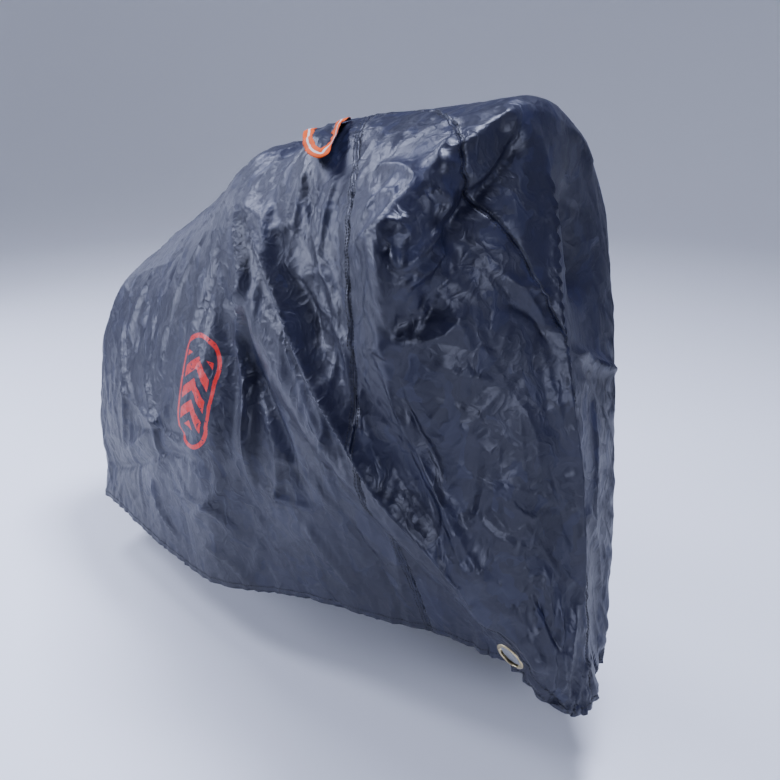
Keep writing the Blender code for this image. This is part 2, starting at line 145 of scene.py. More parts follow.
def new_material(name: str) -> tuple[bpy.types.Material, bpy.types.NodeTree, bpy.types.Node]:
    """Makes an empty Principled material.

    Args:
        name: What the real finish is called.

    Returns:
        The material, its tree and its shader node.
    """
    material = bpy.data.materials.new(name)
    material.use_nodes = True
    tree = material.node_tree
    return material, tree, tree.nodes["Principled BSDF"]


@dataclass(frozen=True)
class CoatedTaffeta:
    """Navy polyester taffeta, 190 threads an inch, silver-coated inside: thin, crisp and half glossy.

    Its coating stiffens it, so it keeps every crease as a small bright facet, and the tight weave
    gives a broad, slightly bluish gloss.
    """

    name: str = "navy coated taffeta"
    navy: str = "10132b"
    charcoal: str = "0d0e18"
    # painted sheen: a lighter blue mixed into some facets' colour, standing in for their glints
    facet_sheen: str = "2c3352"
    roughness: tuple[float, float] = (0.37, 0.50)
    facets: tuple[tuple[float, float, float, float], ...] = (  # lean, long, wide, tilt
        (50, 80 * MM, 26 * MM, 0.14),
        (-38, 44 * MM, 16 * MM, 0.10),
    )
    crinkles: tuple[tuple[float, float, float, float], ...] = (  # lean, long, wide, depth
        (56, 110 * MM, 30 * MM, 1.2 * MM),
        (-30, 60 * MM, 22 * MM, 0.7 * MM),
    )
    wander: float = 70 * MM  # distance over which the creases' pattern is warped
    patches: float = 0.22  # size of the patches of slightly differing tint and gloss
    weave: float = 1.6 * MM  # drawn about eight times the real 0.2 mm, so that it shows at all
    printed: bool = False
    ink: str = "c81408"
    capsule_straight: float = 0.070  # half the straight length of the print's outline
    capsule_radius: float = 0.062
    capsule_line: float = 0.0052  # half the outline's width
    chevron_slope: float = 0.85
    chevron_pitch: float = 0.026  # half of it, from bar to gap
    chevron_bar: float = 0.0145  # half a bar's height
    chevron_margin: float = 0.016  # from the outline
    chevron_reach: float = 0.086
    flaking: tuple[float, float] = (7 * MM, 0.36)  # size of the cracks in the ink, and their share

    def print_mask(self, tree: bpy.types.NodeTree) -> bpy.types.NodeSocket:
        """The red print's shape: three chevrons inside an upright capsule's outline.

        The attribute print_place holds metres across and up from the print's middle.

        Args:
            tree: The material's node tree.

        Returns:
            One where there is ink and zero elsewhere.
        """

        def work(operation: str, *values: float | bpy.types.NodeSocket) -> bpy.types.NodeSocket:
            """One Math node's output."""
            return add_node(tree, "Math", dict(enumerate(values)), operation=operation).outputs[0]

        place = add_node(tree, "Attribute", attribute_name="print_place")
        parts = add_node(tree, "SeparateXYZ", {0: place.outputs["Vector"]})
        aside = work("ABSOLUTE", parts.outputs[0])
        upward = parts.outputs[1]
        level = work("ABSOLUTE", upward)
        beyond = work("MAXIMUM", work("SUBTRACT", level, self.capsule_straight), 0.0)
        squares = work("ADD", work("MULTIPLY", aside, aside), work("MULTIPLY", beyond, beyond))
        rim = work("SUBTRACT", work("SQRT", squares), self.capsule_radius)
        outline = work("COMPARE", rim, 0.0, self.capsule_line)
        slope = work("ADD", work("MULTIPLY", aside, self.chevron_slope), upward)
        wave = work("PINGPONG", work("ADD", slope, 0.5), self.chevron_pitch)
        bars = work("LESS_THAN", wave, self.chevron_bar)
        inside = work("LESS_THAN", rim, -self.chevron_margin)
        within = work("MULTIPLY", inside, work("LESS_THAN", level, self.chevron_reach))
        drawn = work("MAXIMUM", outline, work("MULTIPLY", bars, within))
        size, share = self.flaking
        spot = add_node(tree, "TexCoord").outputs["Object"]
        cracks = add_node(tree, "TexNoise", {"Vector": spot, "Scale": 1 / size, "Detail": 5.0})
        kept = work("GREATER_THAN", cracks.outputs["Fac"], share)
        return work("MULTIPLY", work("MULTIPLY", drawn, kept), parts.outputs[2])

    def stretched(
        self, tree: bpy.types.NodeTree, lean: float, long: float, wide: float
    ) -> bpy.types.NodeSocket:
        """Places on the cloth in units of one crease, along its lean and across it.

        Args:
            tree: The material's node tree.
            lean: The creases' fall from level towards the cover's front, in degrees.
            long: Their length.
            wide: Their width.

        Returns:
            The scaled place, a little warped so that no two creases run alike.
        """
        place = add_node(tree, "TexCoord").outputs["Object"]
        wander = add_node(tree, "TexNoise", {"Vector": place, "Scale": 1 / self.wander, "Detail": 2.0})
        away = {0: wander.outputs["Color"], 1: (0.5, 0.5, 0.5)}
        offset = add_node(tree, "VectorMath", away, operation="SUBTRACT")
        push = {0: offset.outputs[0], "Scale": 1.4 * long}
        pushed = add_node(tree, "VectorMath", push, operation="SCALE")
        moved = add_node(tree, "VectorMath", {0: place, 1: pushed.outputs[0]}, operation="ADD")
        turned = {
            "Vector": moved.outputs[0],
            "Rotation": (0.0, math.radians(lean), 0.0),
            "Scale": (long, wide, wide),
        }
        return add_node(tree, "Mapping", turned, vector_type="TEXTURE").outputs[0]

    def creased(self, tree: bpy.types.NodeTree) -> tuple[bpy.types.NodeSocket, bpy.types.NodeSocket]:
        """The stiff cloth's own small facets and the crinkles between them.

        Args:
            tree: The material's node tree.

        Returns:
            The normal, and a value that differs from facet to facet.
        """
        normal = add_node(tree, "NewGeometry").outputs["Normal"]
        shade = None
        for lean, long, wide, tilt in self.facets:
            place = self.stretched(tree, lean, long, wide)
            cells = add_node(tree, "TexVoronoi", {"Vector": place, "Scale": 1.0})
            centred = {0: cells.outputs["Color"], 1: (0.5, 0.5, 0.5)}
            random = add_node(tree, "VectorMath", centred, operation="SUBTRACT")
            turn = {0: random.outputs[0], "Scale": tilt}
            turned = {0: normal, 1: add_node(tree, "VectorMath", turn, operation="SCALE").outputs[0]}
            normal = add_node(tree, "VectorMath", turned, operation="ADD").outputs[0]
            shade = shade or cells.outputs["Color"]
        normal = add_node(tree, "VectorMath", {0: normal}, operation="NORMALIZE").outputs[0]
        for lean, long, wide, depth in self.crinkles:
            folded = {
                "Vector": self.stretched(tree, lean, long, wide),
                "Scale": 0.8,
                "Detail": 2.0,
                "Roughness": 0.45,
                "Offset": 0.9,
                "Gain": 1.6,
            }
            ridges = add_node(tree, "TexNoise", folded, noise_type="RIDGED_MULTIFRACTAL")
            height = ridges.outputs["Fac"]
            bump = {"Height": height, "Strength": 0.6, "Distance": depth, "Normal": normal}
            normal = add_node(tree, "Bump", bump).outputs[0]
        return normal, shade

    def material(self) -> bpy.types.Material:
        """Builds the finish from its colours, creases and weave, with a painted sheen on some facets.

        Returns:
            The material.
        """
        material, tree, shader = new_material(self.name)
        place = add_node(tree, "TexCoord").outputs["Object"]
        clouds = {"Vector": place, "Scale": 1 / self.patches, "Detail": 3.0}
        cloud = add_node(tree, "TexNoise", clouds).outputs["Fac"]
        dyes = {0: cloud, 6: linear(self.navy), 7: linear(self.charcoal)}
        tint = add_node(tree, "Mix", dyes, data_type="RGBA")
        normal, facet = self.creased(tree)
        # Painted sheen: facets with a high random value get up to 16% of a lighter blue in their
        # colour, standing in for the glints of their tilted faces.
        level = add_node(tree, "SeparateColor", {0: facet}).outputs[0]
        sheen_range = {"Value": level, "From Min": 0.55, "To Min": 0.0, "To Max": 0.16}
        sheen_share = add_node(tree, "MapRange", sheen_range)
        facet_sheen = {0: sheen_share.outputs[0], 6: tint.outputs[2], 7: linear(self.facet_sheen)}
        colour = add_node(tree, "Mix", facet_sheen, data_type="RGBA").outputs[2]
        low, high = self.roughness
        gloss = add_node(tree, "MapRange", {"Value": cloud, "To Min": low, "To Max": high})
        tree.links.new(gloss.outputs[0], shader.inputs["Roughness"])
        weave = add_node(tree, "TexNoise", {"Vector": place, "Scale": 1 / self.weave, "Detail": 1.0})
        height = weave.outputs["Fac"]
        cloth = {"Height": height, "Strength": 0.10, "Distance": 0.2 * MM, "Normal": normal}
        if self.printed:
            inked = {0: self.print_mask(tree), 6: colour, 7: linear(self.ink)}
            colour = add_node(tree, "Mix", inked, data_type="RGBA").outputs[2]
        tree.links.new(colour, shader.inputs["Base Color"])
        tree.links.new(add_node(tree, "Bump", cloth).outputs[0], shader.inputs["Normal"])
        shader.inputs["IOR"].default_value = 1.45
        return material


@dataclass(frozen=True)
class ReflectiveRibbon:
    """High-visibility ribbon: orange polyester with a silver band of glass beads along its middle.

    The dye is deep and the weave matt, so that it stays orange in full light.
    """

    name: str = "orange reflective ribbon"
    orange: str = "c44a00"
    silver: str = "b9b5ad"
    band: float = 0.10  # half the silver band's width, as a share of the ribbon's
    weave: float = 1.2 * MM

    def material(self) -> bpy.types.Material:
        """Builds the finish; the attribute across runs from 0 to 1 over the ribbon's width.

        Returns:
            The material.
        """
        material, tree, shader = new_material(self.name)
        across = add_node(tree, "Attribute", attribute_name="across")
        middle = {0: across.outputs["Fac"], 1: 0.5, 2: self.band}
        band = add_node(tree, "Math", middle, operation="COMPARE")
        stripes = {0: band.outputs[0], 6: linear(self.orange), 7: linear(self.silver)}
        colour = add_node(tree, "Mix", stripes, data_type="RGBA")
        tree.links.new(colour.outputs[2], shader.inputs["Base Color"])
        place = add_node(tree, "TexCoord").outputs["Object"]
        weave = add_node(tree, "TexNoise", {"Vector": place, "Scale": 1 / self.weave, "Detail": 1.0})
        ribs = {"Height": weave.outputs["Fac"], "Strength": 0.2, "Distance": 0.3 * MM}
        bump = add_node(tree, "Bump", ribs)
        tree.links.new(bump.outputs[0], shader.inputs["Normal"])
        shader.inputs["Roughness"].default_value = 0.7
        shader.inputs["Specular IOR Level"].default_value = 0.2
        return material


@dataclass(frozen=True)
class NickelPlate:
    """Pressed steel, nickel plated: a warm bright metal with fine handling marks."""

    name: str = "nickel-plated steel"
    colour: str = "c9b98e"

    def material(self) -> bpy.types.Material:
        """Builds the finish.

        Returns:
            The material.
        """
        material, tree, shader = new_material(self.name)
        place = add_node(tree, "TexCoord").outputs["Object"]
        marks = add_node(tree, "TexNoise", {"Vector": place, "Scale": 1 / (4 * MM), "Detail": 4.0})
        wear = {"Value": marks.outputs["Fac"], "To Min": 0.18, "To Max": 0.42}
        rough = add_node(tree, "MapRange", wear)
        tree.links.new(rough.outputs[0], shader.inputs["Roughness"])
        shader.inputs["Base Color"].default_value = linear(self.colour)
        shader.inputs["Metallic"].default_value = 1.0
        return material


@dataclass(frozen=True)
class SewingThread:
    """Bonded polyester thread: black, with a slight sheen along each stitch."""

    name: str = "black polyester thread"
    colour: str = "0a0b10"

    def material(self) -> bpy.types.Material:
        """Builds the finish.

        Returns:
            The material.
        """
        material, tree, shader = new_material(self.name)
        place = add_node(tree, "TexCoord").outputs["Object"]
        twist = add_node(tree, "TexNoise", {"Vector": place, "Scale": 1 / (0.8 * MM), "Detail": 1.0})
        sheen = {"Value": twist.outputs["Fac"], "To Min": 0.45, "To Max": 0.75}
        rough = add_node(tree, "MapRange", sheen)
        tree.links.new(rough.outputs[0], shader.inputs["Roughness"])
        shader.inputs["Base Color"].default_value = linear(self.colour)
        return material


@dataclass(frozen=True)
class SeamlessPaper:
    """Matt white background paper."""

    name: str = "matt white paper"
    colour: str = "f4f4f4"

    def material(self) -> bpy.types.Material:
        """Builds the finish.

        Returns:
            The material.
        """
        material, _, shader = new_material(self.name)
        shader.inputs["Base Color"].default_value = linear(self.colour)
        shader.inputs["Roughness"].default_value = 0.9
        return material


class Finish(Enum):
    """The finishes, each with its name and the name of its slot in the record."""

    TAFFETA = ("plain taffeta", "taffeta")
    PRINTED = ("printed taffeta", "taffeta")
    THREAD = ("thread", "taffeta")
    RIBBON = ("ribbon", "ribbon")
    NICKEL = ("nickel", "nickel")


FINISHES = {
    Finish.TAFFETA: CoatedTaffeta(),
    Finish.PRINTED: CoatedTaffeta(name="printed navy taffeta", printed=True),
    Finish.THREAD: SewingThread(),
    Finish.RIBBON: ReflectiveRibbon(),
    Finish.NICKEL: NickelPlate(),
}


@dataclass
class Workshop:
    """Turns finished bmeshes into pieces of the object."""

    materials: dict[Finish, bpy.types.Material] = field(default_factory=dict)

    def material(self, finish: Finish) -> bpy.types.Material:
        """The finish's material, made once.

        Args:
            finish: Which finish.

        Returns:
            Its material.
        """
        if finish not in self.materials:
            self.materials[finish] = FINISHES[finish].material()
        return self.materials[finish]

    def piece(
        self, name: str, mesh: bmesh.types.BMesh, finish: Finish, replaces: tuple[str, ...] = ()
    ) -> bpy.types.Object:
        """Makes a piece that rides on the body.

        Args:
            name: The piece's name.
            mesh: Its shape in the frame's own place, which is freed.
            finish: Its finish.
            replaces: CAD nodes that it stands for.

        Returns:
            The new object.
        """
        data = bpy.data.meshes.new(name)
        mesh.to_mesh(data)
        mesh.free()
        data.materials.append(self.material(finish))
        data.shade_smooth()
        made = link(name, data)
        if replaces:
            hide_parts(*replaces)
        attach(made, BODY)
        LOG.info("%s: %d faces, %s", name, len(data.polygons), finish.value[0])
        return made


MERGED = 1e-6  # corners of the CAD triangles this close are one point
SHEET_EDGE = math.radians(60)  # a sheet's cut edge turns by more than this, its face by less


def outer_shell(node: str) -> bmesh.types.BMesh:
    """Copies one sheet node and keeps only the face that looks out of the cover.

    Args:
        node: The CAD node's name.

    Returns:
        The outer face of the sheet, its doubles merged and its triangles paired.
    """
    mesh = bmesh.new()
    mesh.from_mesh(FRAME["nodes"][node].data)
    bmesh.ops.remove_doubles(mesh, verts=mesh.verts, dist=MERGED)
    mesh.normal_update()
    left = set(mesh.faces)
    shells = []
    while left:
        seed = left.pop()
        shell = {seed}
        edge_of = [seed]
        while edge_of:
            face = edge_of.pop()
            for edge in face.edges:
                if len(edge.link_faces) != 2 or edge.calc_face_angle(math.pi) > SHEET_EDGE:
                    continue
                for other in edge.link_faces:
                    if other not in shell:
                        shell.add(other)
                        left.discard(other)
                        edge_of.append(other)
        shells.append(shell)
    shells.sort(key=lambda faces: -sum(f.calc_area() for f in faces))
    keep = max(shells[:2], key=outwardness)
    bmesh.ops.delete(mesh, geom=[f for f in mesh.faces if f not in keep], context="FACES")
    bmesh.ops.join_triangles(
        mesh, faces=mesh.faces[:], angle_face_threshold=math.pi, angle_shape_threshold=math.pi
    )
    return mesh


def outwardness(faces: set[bmesh.types.BMFace]) -> float:
    """How much a set of faces looks away from the cover's inside.

    Args:
        faces: The faces.

    Returns:
        A number above zero if they look out.
    """
    total = 0.0
    for face in faces:
        middle = face.calc_center_median()
        inside = Vector((min(max(middle.x, -0.75), 0.35), 0.0, min(middle.z - 0.1, -0.3)))
        total += face.calc_area() * face.normal.dot(middle - inside)
    return total


# ---- helpers for points and lines ---------------------------------------------------------------
def link(name: str, data: bpy.types.ID) -> bpy.types.Object:
    """Puts a new object in the scene.

    Args:
        name: Its name.
        data: Its mesh, light or camera.

    Returns:
        The object.
    """
    made = bpy.data.objects.new(name, data)
    bpy.context.scene.collection.objects.link(made)
    return made


def point_tree(places: Iterable[Sequence[float]]) -> kdtree.KDTree:
    """Makes a tree that finds the nearest of some points.

    Args:
        places: The points.

    Returns:
        The balanced tree, which numbers them in order.
    """
    places = list(places)
    tree = kdtree.KDTree(len(places))
    for i, place in enumerate(places):
        tree.insert(place, i)
    tree.balance()
    return tree


def run_along(course: np.ndarray) -> np.ndarray:
    """The distance from a line's start to each of its points.

    Args:
        course: The line's points.

    Returns:
        The distances.
    """
    return np.r_[0, np.cumsum(np.linalg.norm(np.diff(course, axis=0), axis=1))]


def places_along(course: np.ndarray, steps: np.ndarray) -> np.ndarray:
    """The places at some distances along a line.

    Args:
        course: The line's points.
        steps: The distances from its start.

    Returns:
        One place for each.
    """
    run = run_along(course)
    return np.stack([np.interp(steps, run, course[:, k]) for k in range(3)], 1)


def read_all(items: bpy.types.bpy_prop_collection, what: str, kind: type, size: int = 1) -> np.ndarray:
    """Reads one property of many parts of a mesh.

    Args:
        items: The mesh's vertices, edges, loops or polygons.
        what: The property.
        kind: The type of its numbers.
        size: How many numbers it has.

    Returns:
        One value an item, or one row where it has more numbers.
    """
    flat = np.empty(len(items) * size, kind)
    items.foreach_get(what, flat)
    return flat.reshape(-1, size) if size > 1 else flat


# ---- the folds of the cloth ---------------------------------------------------------------------
@dataclass(frozen=True)
class Crease:
    """One fold: a ridge where rise is above zero, a trough where it is below.

    rise, left, right and edge are millimetres. left and right are its spreads on each hand, seen
    from outside and looking along the path. edge is the radius of its crest, small for a sharp one.
    """

    name: str
    rise: float
    left: float
    right: float
    edge: float
    path: tuple[tuple[float, float, float], ...]
    ends: float = 0.22  # share of the path over which it rises from nothing at each end


CREASES: tuple[Crease, ...] = (
    Crease("long diagonal", 22, 55, 15, 1.5,
           ((-0.39, -0.17, -0.17), (-0.25, -0.23, -0.22), (-0.11, -0.27, -0.33),
            (-0.04, -0.28, -0.41), (0.05, -0.30, -0.49), (0.12, -0.30, -0.55),
            (0.17, -0.29, -0.61), (0.22, -0.28, -0.66), (0.28, -0.25, -0.72), (0.33, -0.21, -0.80),
            (0.37, -0.14, -0.93))),
    Crease("rear upright", 16, 12, 40, 1.5,
           ((-0.40, -0.16, -0.18), (-0.32, -0.21, -0.23), (-0.23, -0.28, -0.33),
            (-0.30, -0.23, -0.48), (-0.27, -0.24, -0.56), (-0.24, -0.28, -0.70),
            (-0.23, -0.28, -0.78), (-0.23, -0.27, -0.85))),
    Crease("rear corner", 7, 25, 25, 4,
           ((-0.91, -0.19, -0.53), (-0.86, -0.24, -0.64), (-0.80, -0.28, -0.80),
            (-0.85, -0.28, -0.96))),
    Crease("rear tuck", -7, 22, 16, 4,
           ((-1.02, -0.25, -1.04), (-0.73, -0.30, -0.91), (-0.57, -0.30, -0.82),
            (-0.34, -0.29, -0.77))),
    Crease("rear hem fold", 6, 16, 20, 2,
           ((-0.59, -0.30, -0.92), (-0.35, -0.30, -0.90), (-0.28, -0.27, -0.96))),
    Crease("rear hem fold2", 6, 14, 16, 2,
           ((-0.44, -0.30, -1.00), (-0.33, -0.28, -1.03), (-0.27, -0.26, -1.08))),
    Crease("beside upright", -5, 18, 18, 5,
           ((-0.38, -0.24, -0.41), (-0.30, -0.26, -0.57), (-0.30, -0.29, -0.72))),
    Crease("rear shoulder", 4, 25, 25, 4,
           ((-0.80, -0.14, -0.41), (-0.84, -0.21, -0.54), (-0.83, -0.24, -0.64))),
    Crease("rear star a", 5, 18, 12, 2,
           ((-0.86, -0.27, -0.74), (-0.63, -0.30, -0.75), (-0.46, -0.31, -0.78))),
    Crease("rear star b", 5, 14, 18, 2,
           ((-0.53, -0.29, -0.66), (-0.61, -0.30, -0.76), (-0.84, -0.28, -0.92))),
    Crease("rear star c", 4, 14, 14, 2,
           ((-0.71, -0.26, -0.63), (-0.62, -0.30, -0.75), (-0.60, -0.31, -0.88))),
    Crease("rear star d", -4, 14, 12, 3,
           ((-0.78, -0.29, -0.82), (-0.57, -0.30, -0.76), (-0.39, -0.31, -0.72))),
    Crease("rear slope a", 4, 20, 16, 3,
           ((-0.50, -0.16, -0.25), (-0.59, -0.20, -0.39), (-0.63, -0.24, -0.51))),
    Crease("rear slope b", -4, 18, 18, 4,
           ((-0.40, -0.21, -0.28), (-0.42, -0.25, -0.41), (-0.45, -0.27, -0.49))),
    Crease("rear low a", 5, 14, 16, 2,
           ((-0.66, -0.31, -0.91), (-0.62, -0.31, -1.00), (-0.53, -0.30, -1.06))),
    Crease("rear low b", 5, 14, 14, 2,
           ((-0.31, -0.29, -0.78), (-0.36, -0.30, -0.86), (-0.48, -0.30, -0.97))),
    Crease("recess a", -9, 24, 20, 5,
           ((-0.30, -0.23, -0.49), (-0.15, -0.26, -0.63), (-0.06, -0.26, -0.77))),
    Crease("recess b", 5, 16, 18, 3,
           ((-0.17, -0.28, -0.35), (-0.06, -0.29, -0.43), (0.03, -0.30, -0.54),
            (0.09, -0.30, -0.62))),
    Crease("recess c", 5, 14, 18, 3,
           ((-0.03, -0.29, -0.44), (0.06, -0.30, -0.55), (0.01, -0.25, -0.69),
            (0.03, -0.24, -0.76))),
    Crease("recess d", 4, 16, 14, 3,
           ((-0.18, -0.27, -0.69), (-0.06, -0.26, -0.71), (0.03, -0.24, -0.78))),
    Crease("recess e", 5, 14, 12, 2,
           ((-0.23, -0.28, -0.78), (-0.13, -0.27, -0.79), (-0.03, -0.25, -0.78))),
    Crease("recess f", 4, 14, 14, 3,
           ((-0.22, -0.25, -0.58), (-0.16, -0.27, -0.68), (-0.16, -0.26, -0.85))),
    Crease("low mid a", 5, 18, 18, 3,
           ((-0.09, -0.26, -0.82), (-0.02, -0.24, -0.90), (0.04, -0.21, -0.98))),
    Crease("low mid b", -5, 20, 18, 4,
           ((0.03, -0.24, -0.78), (0.09, -0.21, -0.86), (0.13, -0.18, -0.97))),
    Crease("low mid c", 4, 14, 14, 3,
           ((0.20, -0.28, -0.69), (0.15, -0.20, -0.86), (0.15, -0.17, -0.98))),
    Crease("low mid d", 4, 14, 12, 2,
           ((-0.21, -0.26, -0.92), (-0.15, -0.25, -0.95), (-0.07, -0.23, -0.98))),
    Crease("bright a", 6, 16, 20, 2,
           ((-0.14, -0.18, -0.10), (-0.11, -0.21, -0.16), (-0.11, -0.24, -0.22))),
    Crease("bright b", 7, 22, 14, 2,
           ((-0.35, -0.19, -0.19), (-0.19, -0.24, -0.22), (-0.13, -0.26, -0.29))),
    Crease("bright c", 5, 16, 14, 2,
           ((-0.03, -0.18, -0.10), (-0.02, -0.22, -0.16), (-0.01, -0.24, -0.23))),
    Crease("bright d", 5, 12, 16, 2,
           ((-0.21, -0.21, -0.17), (-0.18, -0.23, -0.22), (-0.11, -0.23, -0.19))),
    Crease("mid a", 5, 18, 16, 3,
           ((-0.07, -0.22, -0.18), (0.00, -0.25, -0.26), (0.09, -0.27, -0.35))),
    Crease("mid b", -6, 18, 16, 4,
           ((-0.12, -0.25, -0.28), (-0.03, -0.26, -0.33), (0.03, -0.28, -0.41))),
    Crease("mid c", 5, 14, 16, 2,
           ((0.03, -0.26, -0.31), (0.09, -0.28, -0.39), (0.12, -0.28, -0.48))),
    Crease("mid d", 4, 10, 12, 2,
           ((-0.07, -0.25, -0.29), (-0.01, -0.25, -0.27), (0.06, -0.26, -0.28))),
    Crease("lump a", 10, 20, 16, 4,
           ((0.12, -0.28, -0.20), (0.20, -0.29, -0.15), (0.24, -0.26, -0.13))),
    Crease("lump b", 11, 18, 18, 4,
           ((0.23, -0.30, -0.16), (0.25, -0.29, -0.21), (0.25, -0.25, -0.18),
            (0.26, -0.19, -0.14))),
    Crease("lump c", 9, 18, 14, 4,
           ((0.24, -0.22, -0.09), (0.26, -0.19, -0.11), (0.25, -0.21, -0.14))),
    Crease("lump dark", -10, 16, 16, 5,
           ((0.22, -0.30, -0.16), (0.24, -0.30, -0.20), (0.26, -0.27, -0.23))),
    Crease("lump e", 5, 14, 14, 3,
           ((0.12, -0.26, -0.16), (0.13, -0.24, -0.12), (0.20, -0.25, -0.09))),
    Crease("lump f", 5, 14, 14, 3,
           ((0.06, -0.18, -0.08), (0.14, -0.19, -0.07), (0.24, -0.23, -0.08))),
    Crease("lump g", 7, 18, 14, 4,
           ((0.25, -0.29, -0.24), (0.26, -0.23, -0.21), (0.26, -0.19, -0.18))),
    Crease("dark pool", -12, 34, 34, 12,
           ((0.22, -0.30, -0.30), (0.25, -0.26, -0.30), (0.27, -0.21, -0.27))),
    Crease("pool edge", 5, 16, 20, 3,
           ((0.16, -0.29, -0.36), (0.24, -0.28, -0.34), (0.28, -0.23, -0.33),
            (0.30, -0.17, -0.27))),
    Crease("forehead a", 7, 22, 18, 2,
           ((0.25, -0.01, 0.03), (0.25, -0.12, -0.01), (0.24, -0.18, -0.04))),
    Crease("forehead b", 7, 20, 16, 2,
           ((0.26, -0.02, 0.03), (0.27, -0.10, -0.06), (0.26, -0.15, -0.10))),
    Crease("forehead c", 5, 14, 14, 2,
           ((0.27, -0.01, 0.01), (0.28, -0.03, -0.04), (0.30, -0.05, -0.10))),
    Crease("forehead d", 4, 18, 18, 3,
           ((0.24, -0.06, 0.03), (0.19, -0.10, 0.01), (0.10, -0.10, -0.01))),
    Crease("forehead e", 5, 14, 14, 3,
           ((0.22, -0.14, -0.01), (0.23, -0.19, -0.04), (0.25, -0.18, -0.07))),
    Crease("valley edge", -14, 24, 30, 6,
           ((0.27, -0.03, 0.01), (0.28, -0.08, -0.06), (0.27, -0.12, -0.10), (0.26, -0.17, -0.14),
            (0.26, -0.21, -0.20))),
    Crease("front ridge", 13, 12, 22, 1.5,
           ((0.26, 0.00, 0.03), (0.30, 0.01, -0.07), (0.32, 0.00, -0.19), (0.35, -0.01, -0.33),
            (0.39, -0.02, -0.47), (0.42, -0.01, -0.60), (0.44, -0.01, -0.76),
            (0.47, -0.01, -0.94))),
    Crease("pleat a", 7, 14, 10, 1.5,
           ((0.19, -0.29, -0.37), (0.23, -0.27, -0.48), (0.28, -0.23, -0.61), (0.32, -0.22, -0.71),
            (0.35, -0.20, -0.81))),
    Crease("pleat b", 6, 16, 12, 2,
           ((0.23, -0.27, -0.51), (0.29, -0.23, -0.63), (0.34, -0.20, -0.74),
            (0.38, -0.17, -0.84))),
    Crease("pleat c", 7, 8, 8, 1.5,
           ((0.14, -0.28, -0.44), (0.15, -0.28, -0.51), (0.16, -0.29, -0.55))),
    Crease("pleat d", -5, 14, 14, 3,
           ((0.22, -0.29, -0.37), (0.25, -0.26, -0.48), (0.30, -0.22, -0.60))),
    Crease("pleat e", 4, 8, 10, 2,
           ((0.14, -0.28, -0.38), (0.20, -0.29, -0.36), (0.23, -0.28, -0.37))),
    Crease("seam crush a", 6, 10, 10, 2,
           ((0.33, -0.09, -0.25), (0.34, -0.04, -0.28), (0.35, -0.03, -0.31))),
    Crease("seam crush b", 5, 12, 12, 2,
           ((0.31, -0.12, -0.23), (0.34, -0.07, -0.28), (0.36, -0.04, -0.34))),
    Crease("seam crush c", -5, 12, 12, 2,
           ((0.32, -0.12, -0.28), (0.35, -0.06, -0.32), (0.36, -0.04, -0.37))),
    Crease("front wr a", 3, 18, 16, 3,
           ((0.30, -0.21, -0.48), (0.33, -0.18, -0.52), (0.36, -0.15, -0.57))),
    Crease("front wr b", 4, 16, 14, 2,
           ((0.36, -0.15, -0.59), (0.39, -0.13, -0.65), (0.41, -0.09, -0.68))),
    Crease("front wr c", 4, 14, 16, 2,
           ((0.33, -0.20, -0.64), (0.36, -0.17, -0.69), (0.40, -0.14, -0.72))),
    Crease("front wr d", 3, 18, 18, 3,
           ((0.27, -0.24, -0.37), (0.31, -0.20, -0.40), (0.33, -0.15, -0.41))),
    Crease("front wr e", 3, 18, 18, 3,
           ((0.36, -0.11, -0.45), (0.39, -0.09, -0.53), (0.40, -0.09, -0.60))),
    Crease("front low a", 8, 12, 12, 2,
           ((0.42, -0.13, -0.80), (0.46, -0.11, -0.90), (0.46, -0.09, -1.05))),
    Crease("front low b", 8, 12, 12, 2,
           ((0.45, -0.07, -0.82), (0.47, -0.08, -0.91), (0.47, -0.08, -1.05))),
    Crease("front low c", 8, 12, 12, 2,
           ((0.46, -0.03, -0.85), (0.47, -0.06, -0.95), (0.48, -0.07, -1.06))),
    Crease("front low d", -6, 12, 12, 3,
           ((0.43, -0.12, -0.81), (0.45, -0.10, -0.88), (0.47, -0.07, -0.96))),
    Crease("front low e", 5, 12, 12, 2,
           ((0.42, -0.09, -0.76), (0.44, -0.09, -0.83), (0.46, -0.10, -0.91))),
    Crease("front low f", 5, 14, 12, 2,
           ((0.41, -0.15, -0.82), (0.44, -0.14, -0.90), (0.45, -0.11, -1.00))),
    Crease("corner bulge", 14, 20, 22, 4,
           ((0.36, 0.03, -0.39), (0.32, 0.16, -0.46), (0.29, 0.28, -0.52))),
    Crease("right edge a", 6, 18, 18, 3,
           ((0.34, 0.12, -0.50), (0.40, 0.08, -0.66), (0.43, 0.04, -0.77))),
    Crease("right edge b", 5, 16, 16, 3,
           ((0.38, 0.03, -0.43), (0.35, 0.12, -0.52), (0.37, 0.14, -0.62))),
    Crease("right edge d", 6, 18, 18, 3,
           ((0.24, 0.12, -0.02), (0.22, 0.20, -0.07), (0.22, 0.24, -0.12))),
    Crease("right edge e", 5, 16, 16, 3,
           ((0.43, 0.00, -0.66), (0.42, 0.08, -0.79), (0.42, 0.11, -0.93))),
    Crease("front valley", -18, 40, 40, 10,
           ((0.28, 0.08, -0.09), (0.27, 0.13, -0.22), (0.28, 0.15, -0.36))),
)


